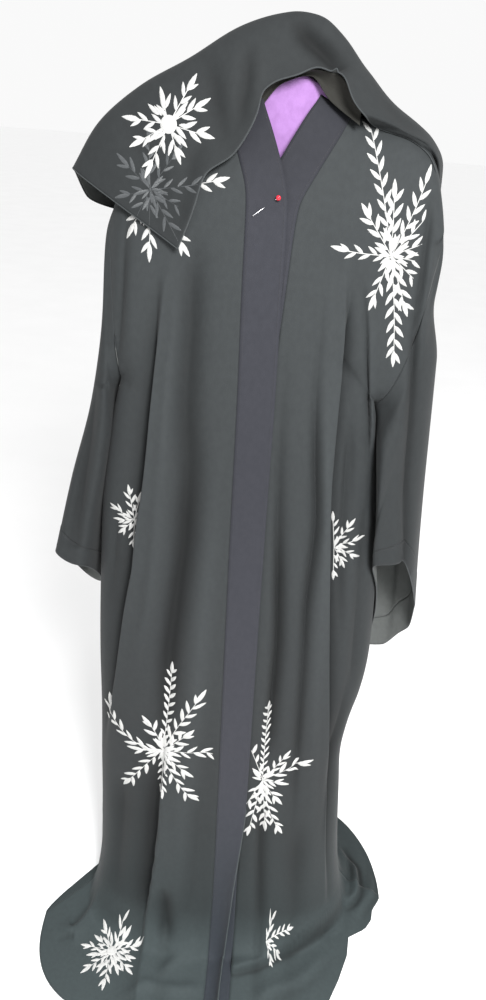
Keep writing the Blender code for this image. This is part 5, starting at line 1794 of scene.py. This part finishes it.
class Stitching:
    """Collects one spray's stitches as a mesh laid over its cloth."""

    def __init__(self, ground, height, within):
        self.ground = ground
        self.height = height
        self.within = within
        self.points, self.faces, self.places = [], [], []

    def lay(self, spots, faces):
        """Adds a patch from (u, v, height share, along, aside) rows, if the cloth is under all of it."""
        laid = []
        for u, v, rise, _, _ in spots:
            if not self.within(u, v):
                return
            met = self.ground.meets(u, v)
            if met is None:
                return
            lift = CLOTH / 2 - SATIN_SUNK * (rise <= 0) + self.height * rise
            laid.append(met[0] + met[1] * lift)
        if max((a - laid[0]).length for a in laid) > PATCH_REACH:
            return
        start = len(self.points)
        self.points.extend(laid)
        self.faces.extend(tuple(start + k for k in face) for face in faces)
        self.places.extend((along, aside) for _, _, _, along, aside in spots)

    def leaf(self, start, heading, length):
        """A pointed leaf, with a furrow down its middle."""
        forward, aside = towards(heading)
        extra = 1 + 0.3 * math.sin(len(self.points) * 1.7)
        spots = [(*start, 0.0, 0.0, 0.0)]
        for along, share in LEAF_ROWS:
            for j, rise in enumerate(LEAF_HEIGHTS):
                off = (j / 2 - 1) * share * length * LEAF_WIDTH / 2
                at = start + forward * along * length + aside * off
                spots.append((*at, rise * extra * min(1, 2.2 * share), along * length, off))
        spots.append((*(start + forward * length), 0.0, length, 0.0))
        last = len(spots) - 1
        faces = [(0, 1 + j, 2 + j) for j in range(4)]
        for i in range(len(LEAF_ROWS) - 1):
            faces += [(1 + 5 * i + j, 6 + 5 * i + j, 7 + 5 * i + j, 2 + 5 * i + j) for j in range(4)]
        faces += [(last, last - 4 + j, last - 5 + j) for j in range(4)]
        self.lay(spots, faces)

    def stem(self, line):
        """A narrow ridge of stitches along a line."""
        for a, b in zip(line[:-1], line[1:]):
            forward = (b - a) / (np.linalg.norm(b - a) + 1e-9)
            aside = np.array([-forward[1], forward[0]]) * STEM_WIDTH / 2
            spots = []
            for end in (a - forward * STEM_OVERLAP, b + forward * STEM_OVERLAP):
                spots += [
                    (*(end - aside), 0.0, 0.0, 0.0),
                    (*end, 0.55, 0.0, 0.001),
                    (*(end + aside), 0.0, 0.0, 0.002),
                ]
            self.lay(spots, [(0, 1, 4, 3), (1, 2, 5, 4)])

    def disc(self, u, v, radius):
        """A spray's round middle."""
        spots = [(u, v, 0.9, 0.0, 0.0)]
        for share, rise in DISC_ROWS:
            for k in range(DISC_SIDES):
                angle = k * math.tau / DISC_SIDES
                along, aside = radius * share * math.cos(angle), radius * share * math.sin(angle)
                spots.append((u + along, v + aside, rise, along, aside))
        pairs = [(k, (k + 1) % DISC_SIDES) for k in range(DISC_SIDES)]
        faces = [(0, 1 + a, 1 + b) for a, b in pairs]
        for first in (1, 1 + DISC_SIDES):
            outer = first + DISC_SIDES
            faces += [(first + a, outer + a, outer + b, first + b) for a, b in pairs]
        self.lay(spots, faces)

    def spray(self, spray):
        """A centre of leaves with stems running out of it."""
        centre = np.array(spray.centre)
        for number, arm in enumerate(spray.arms):
            self.arm(centre, arm, spray.leaf * arm.leaf, number)
        for k in range(spray.ring):
            heading = k * math.tau / spray.ring + 0.4 * math.sin(k * 2.3)
            out = spray.disc + 0.0015 + 0.003 * (k % 2)
            start = centre + out * towards(heading)[0]
            self.leaf(start, heading, spray.leaf * (0.95 if k % 2 else 0.75))
        if spray.disc:
            self.disc(*centre, spray.disc)

    def arm(self, centre, arm, leaf, number):
        """A stem with leaves on alternate sides and one at its tip."""
        share = np.linspace(0, 1, max(4, int(arm.length / STEM_STEP)) + 1)
        headings = np.radians(arm.angle - arm.bend / 2 + arm.bend * share)
        steps = np.stack([np.cos(headings[:-1]), np.sin(headings[:-1])], axis=1)
        line = np.concatenate([[[0, 0]], np.cumsum(steps, axis=0)])
        line *= arm.length / np.linalg.norm(line[-1])
        line += centre
        run = lengths(line[None], 1)[0]
        tip = run[-1] - leaf * TIP_SIZE
        self.stem(line[run < tip + 0.3 * leaf])
        side = 1 if number % 2 else -1
        out = 0.40 * leaf
        while out < tip + 0.25 * leaf:
            heading = np.interp(out, run, headings)
            size = leaf * (0.92 + 0.10 * math.sin(out * 700 + number))
            size *= np.interp(out / tip, (0, 0.8, 1.2), (0.95, 1, 0.8))
            turn = math.radians(LEAF_TURN + 5 * math.sin(out * 430))
            self.leaf(point_at(out, run, line), heading + side * turn, size)
            side = -side
            out += LEAF_SPACING * leaf
        self.leaf(point_at(tip, run, line), headings[-1], leaf * TIP_SIZE)

    def piece(self, name, finish):
        mesh = bpy.data.meshes.new(name)
        mesh.from_pydata([point - Vector((0, 0, HANG_HEIGHT)) for point in self.points], [], self.faces)
        layer = mesh.uv_layers.new(name="stitch")
        for loop, place_at in zip(mesh.loops, layer.data):
            place_at.uv = self.places[loop.vertex_index]
        sewn_on(name, mesh, finish)


def beside(path, gap, above):
    """A test that a point lies on one side of a path given as (x, height, ...)."""
    line = line_through(path)

    def test(u, v):
        edge = by_height(line, v, 0)
        return u > edge + gap if above else u < edge - gap

    return test


def anywhere(u, v):
    return True


def build_embroidery(charts):
    """The nine sprays, and the low relief of the one that lies under the shawl."""
    band_edge = [(p[0], p[2]) for p in charts["band_right"][::20, -1]]
    limits = {
        "left_shoulder": beside(LEFT_SLEEVE_CREASES[0].path, 0.0005, False),
        "right_waist": beside(RIGHT_PLEAT.path, 0.001, False),
        "left_waist": beside(LEFT_PLEAT.path, 0.002, True),
        "left_knee": beside(band_edge, 0.0005, True),
        "left_hem": lambda u, v: u > 0.088,
    }
    for spray in SPRAYS:
        ground = Ground([closed_grid(name, charts[name]) for name in spray.cloths], spray.flat)
        stitching = Stitching(ground, SATIN_HEIGHT, limits.get(spray.name, anywhere))
        stitching.spray(spray)
        stitching.piece("embroidery_" + spray.name, THREAD)
    ghost = Stitching(Ground([charts["shawl"]], False), GHOST_HEIGHT, anywhere)
    ghost.spray(next(spray for spray in SPRAYS if spray.name == "right_shoulder"))
    ghost.piece("embroidery_seen_through_shawl", THREAD_UNDER)


# ---------------------------------------------------------------- the studio

Lamp = namedtuple("Lamp", "name spot aim size power spread")

LAMPS = rows_of(
    Lamp,
    ("key", (0.60, -1.85, 0.75), (0.0, -0.1, -0.50), 0.7, 98.0, 180),
    ("low", (0.0, -0.62, -0.10), (0.0, -0.36, -1.57), 0.3, 2.5, 60),
)
FLOOR_RADIUS = 60.0
FLOOR_SIDES = 96
SKY_STRENGTH = 0.95
CAMERA_SPOT = (-0.025, -1.06, 1.451)
CAMERA_PITCH = 26.6
CAMERA_ROLL = 4.7
CAMERA_LENS = 27


def build_studio():
    """A white floor and surroundings with two lamps."""
    floor = bpy.data.meshes.new("studio_floor")
    angles = np.linspace(0, 2 * math.pi, FLOOR_SIDES, endpoint=False)
    rim = [(FLOOR_RADIUS * math.cos(a), FLOOR_RADIUS * math.sin(a), -HANG_HEIGHT) for a in angles]
    floor.from_pydata(rim, [], [tuple(range(len(rim)))])
    floor.materials.append(plain_finish("studio_paper", (0.95, 0.95, 0.95), (0.97, 0.97, 0.97), 0.9, 3.0))
    new_object("studio_floor", floor)

    world = bpy.data.worlds.new("studio")
    world.use_nodes = True
    set_inputs(world.node_tree.nodes["Background"], {"Color": (1.0, 1.0, 1.0, 1.0), "Strength": SKY_STRENGTH})
    bpy.context.scene.world = world

    for row in LAMPS:
        light = bpy.data.lights.new(row.name, "AREA")
        light.size = row.size
        light.spread = math.radians(row.spread)
        light.energy = row.power
        lamp = new_object(row.name, light)
        lamp.location = row.spot
        lamp.rotation_euler = (Vector(row.aim) - Vector(row.spot)).to_track_quat("-Z", "Y").to_euler()


def build_camera():
    """The camera at the height of the collar, looking down, a little rolled."""
    pitch = math.radians(CAMERA_PITCH)
    roll = math.radians(CAMERA_ROLL)
    right = Vector((1, 0, 0))
    ahead = Vector((0, math.cos(pitch), -math.sin(pitch)))
    up = right.cross(ahead)
    side = right * math.cos(roll) + up * math.sin(roll)
    top = up * math.cos(roll) - right * math.sin(roll)
    camera = bpy.data.cameras.new("camera")
    camera.sensor_fit = "VERTICAL"
    camera.sensor_height = 36
    camera.lens = CAMERA_LENS
    camera.clip_start = 0.02
    made = new_object("camera", camera)
    axes = Matrix((side, top, -ahead)).transposed()
    spot = Vector(CAMERA_SPOT) - Vector((0, 0, HANG_HEIGHT))
    made.matrix_world = Matrix.Translation(spot) @ axes.to_4x4()
    bpy.context.scene.camera = made


build_studio()
build_camera()
CHARTS = build_cloth()
build_pin()
build_embroidery(CHARTS)
build_hems(CHARTS)
build_stitching(CHARTS)
for node, finish in (("hanger", WOOD), ("hanger_hook", STEEL)):
    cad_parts[node].data.materials.clear()
    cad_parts[node].data.materials.append(finish)
bpy.context.scene.view_settings.view_transform = "Standard"
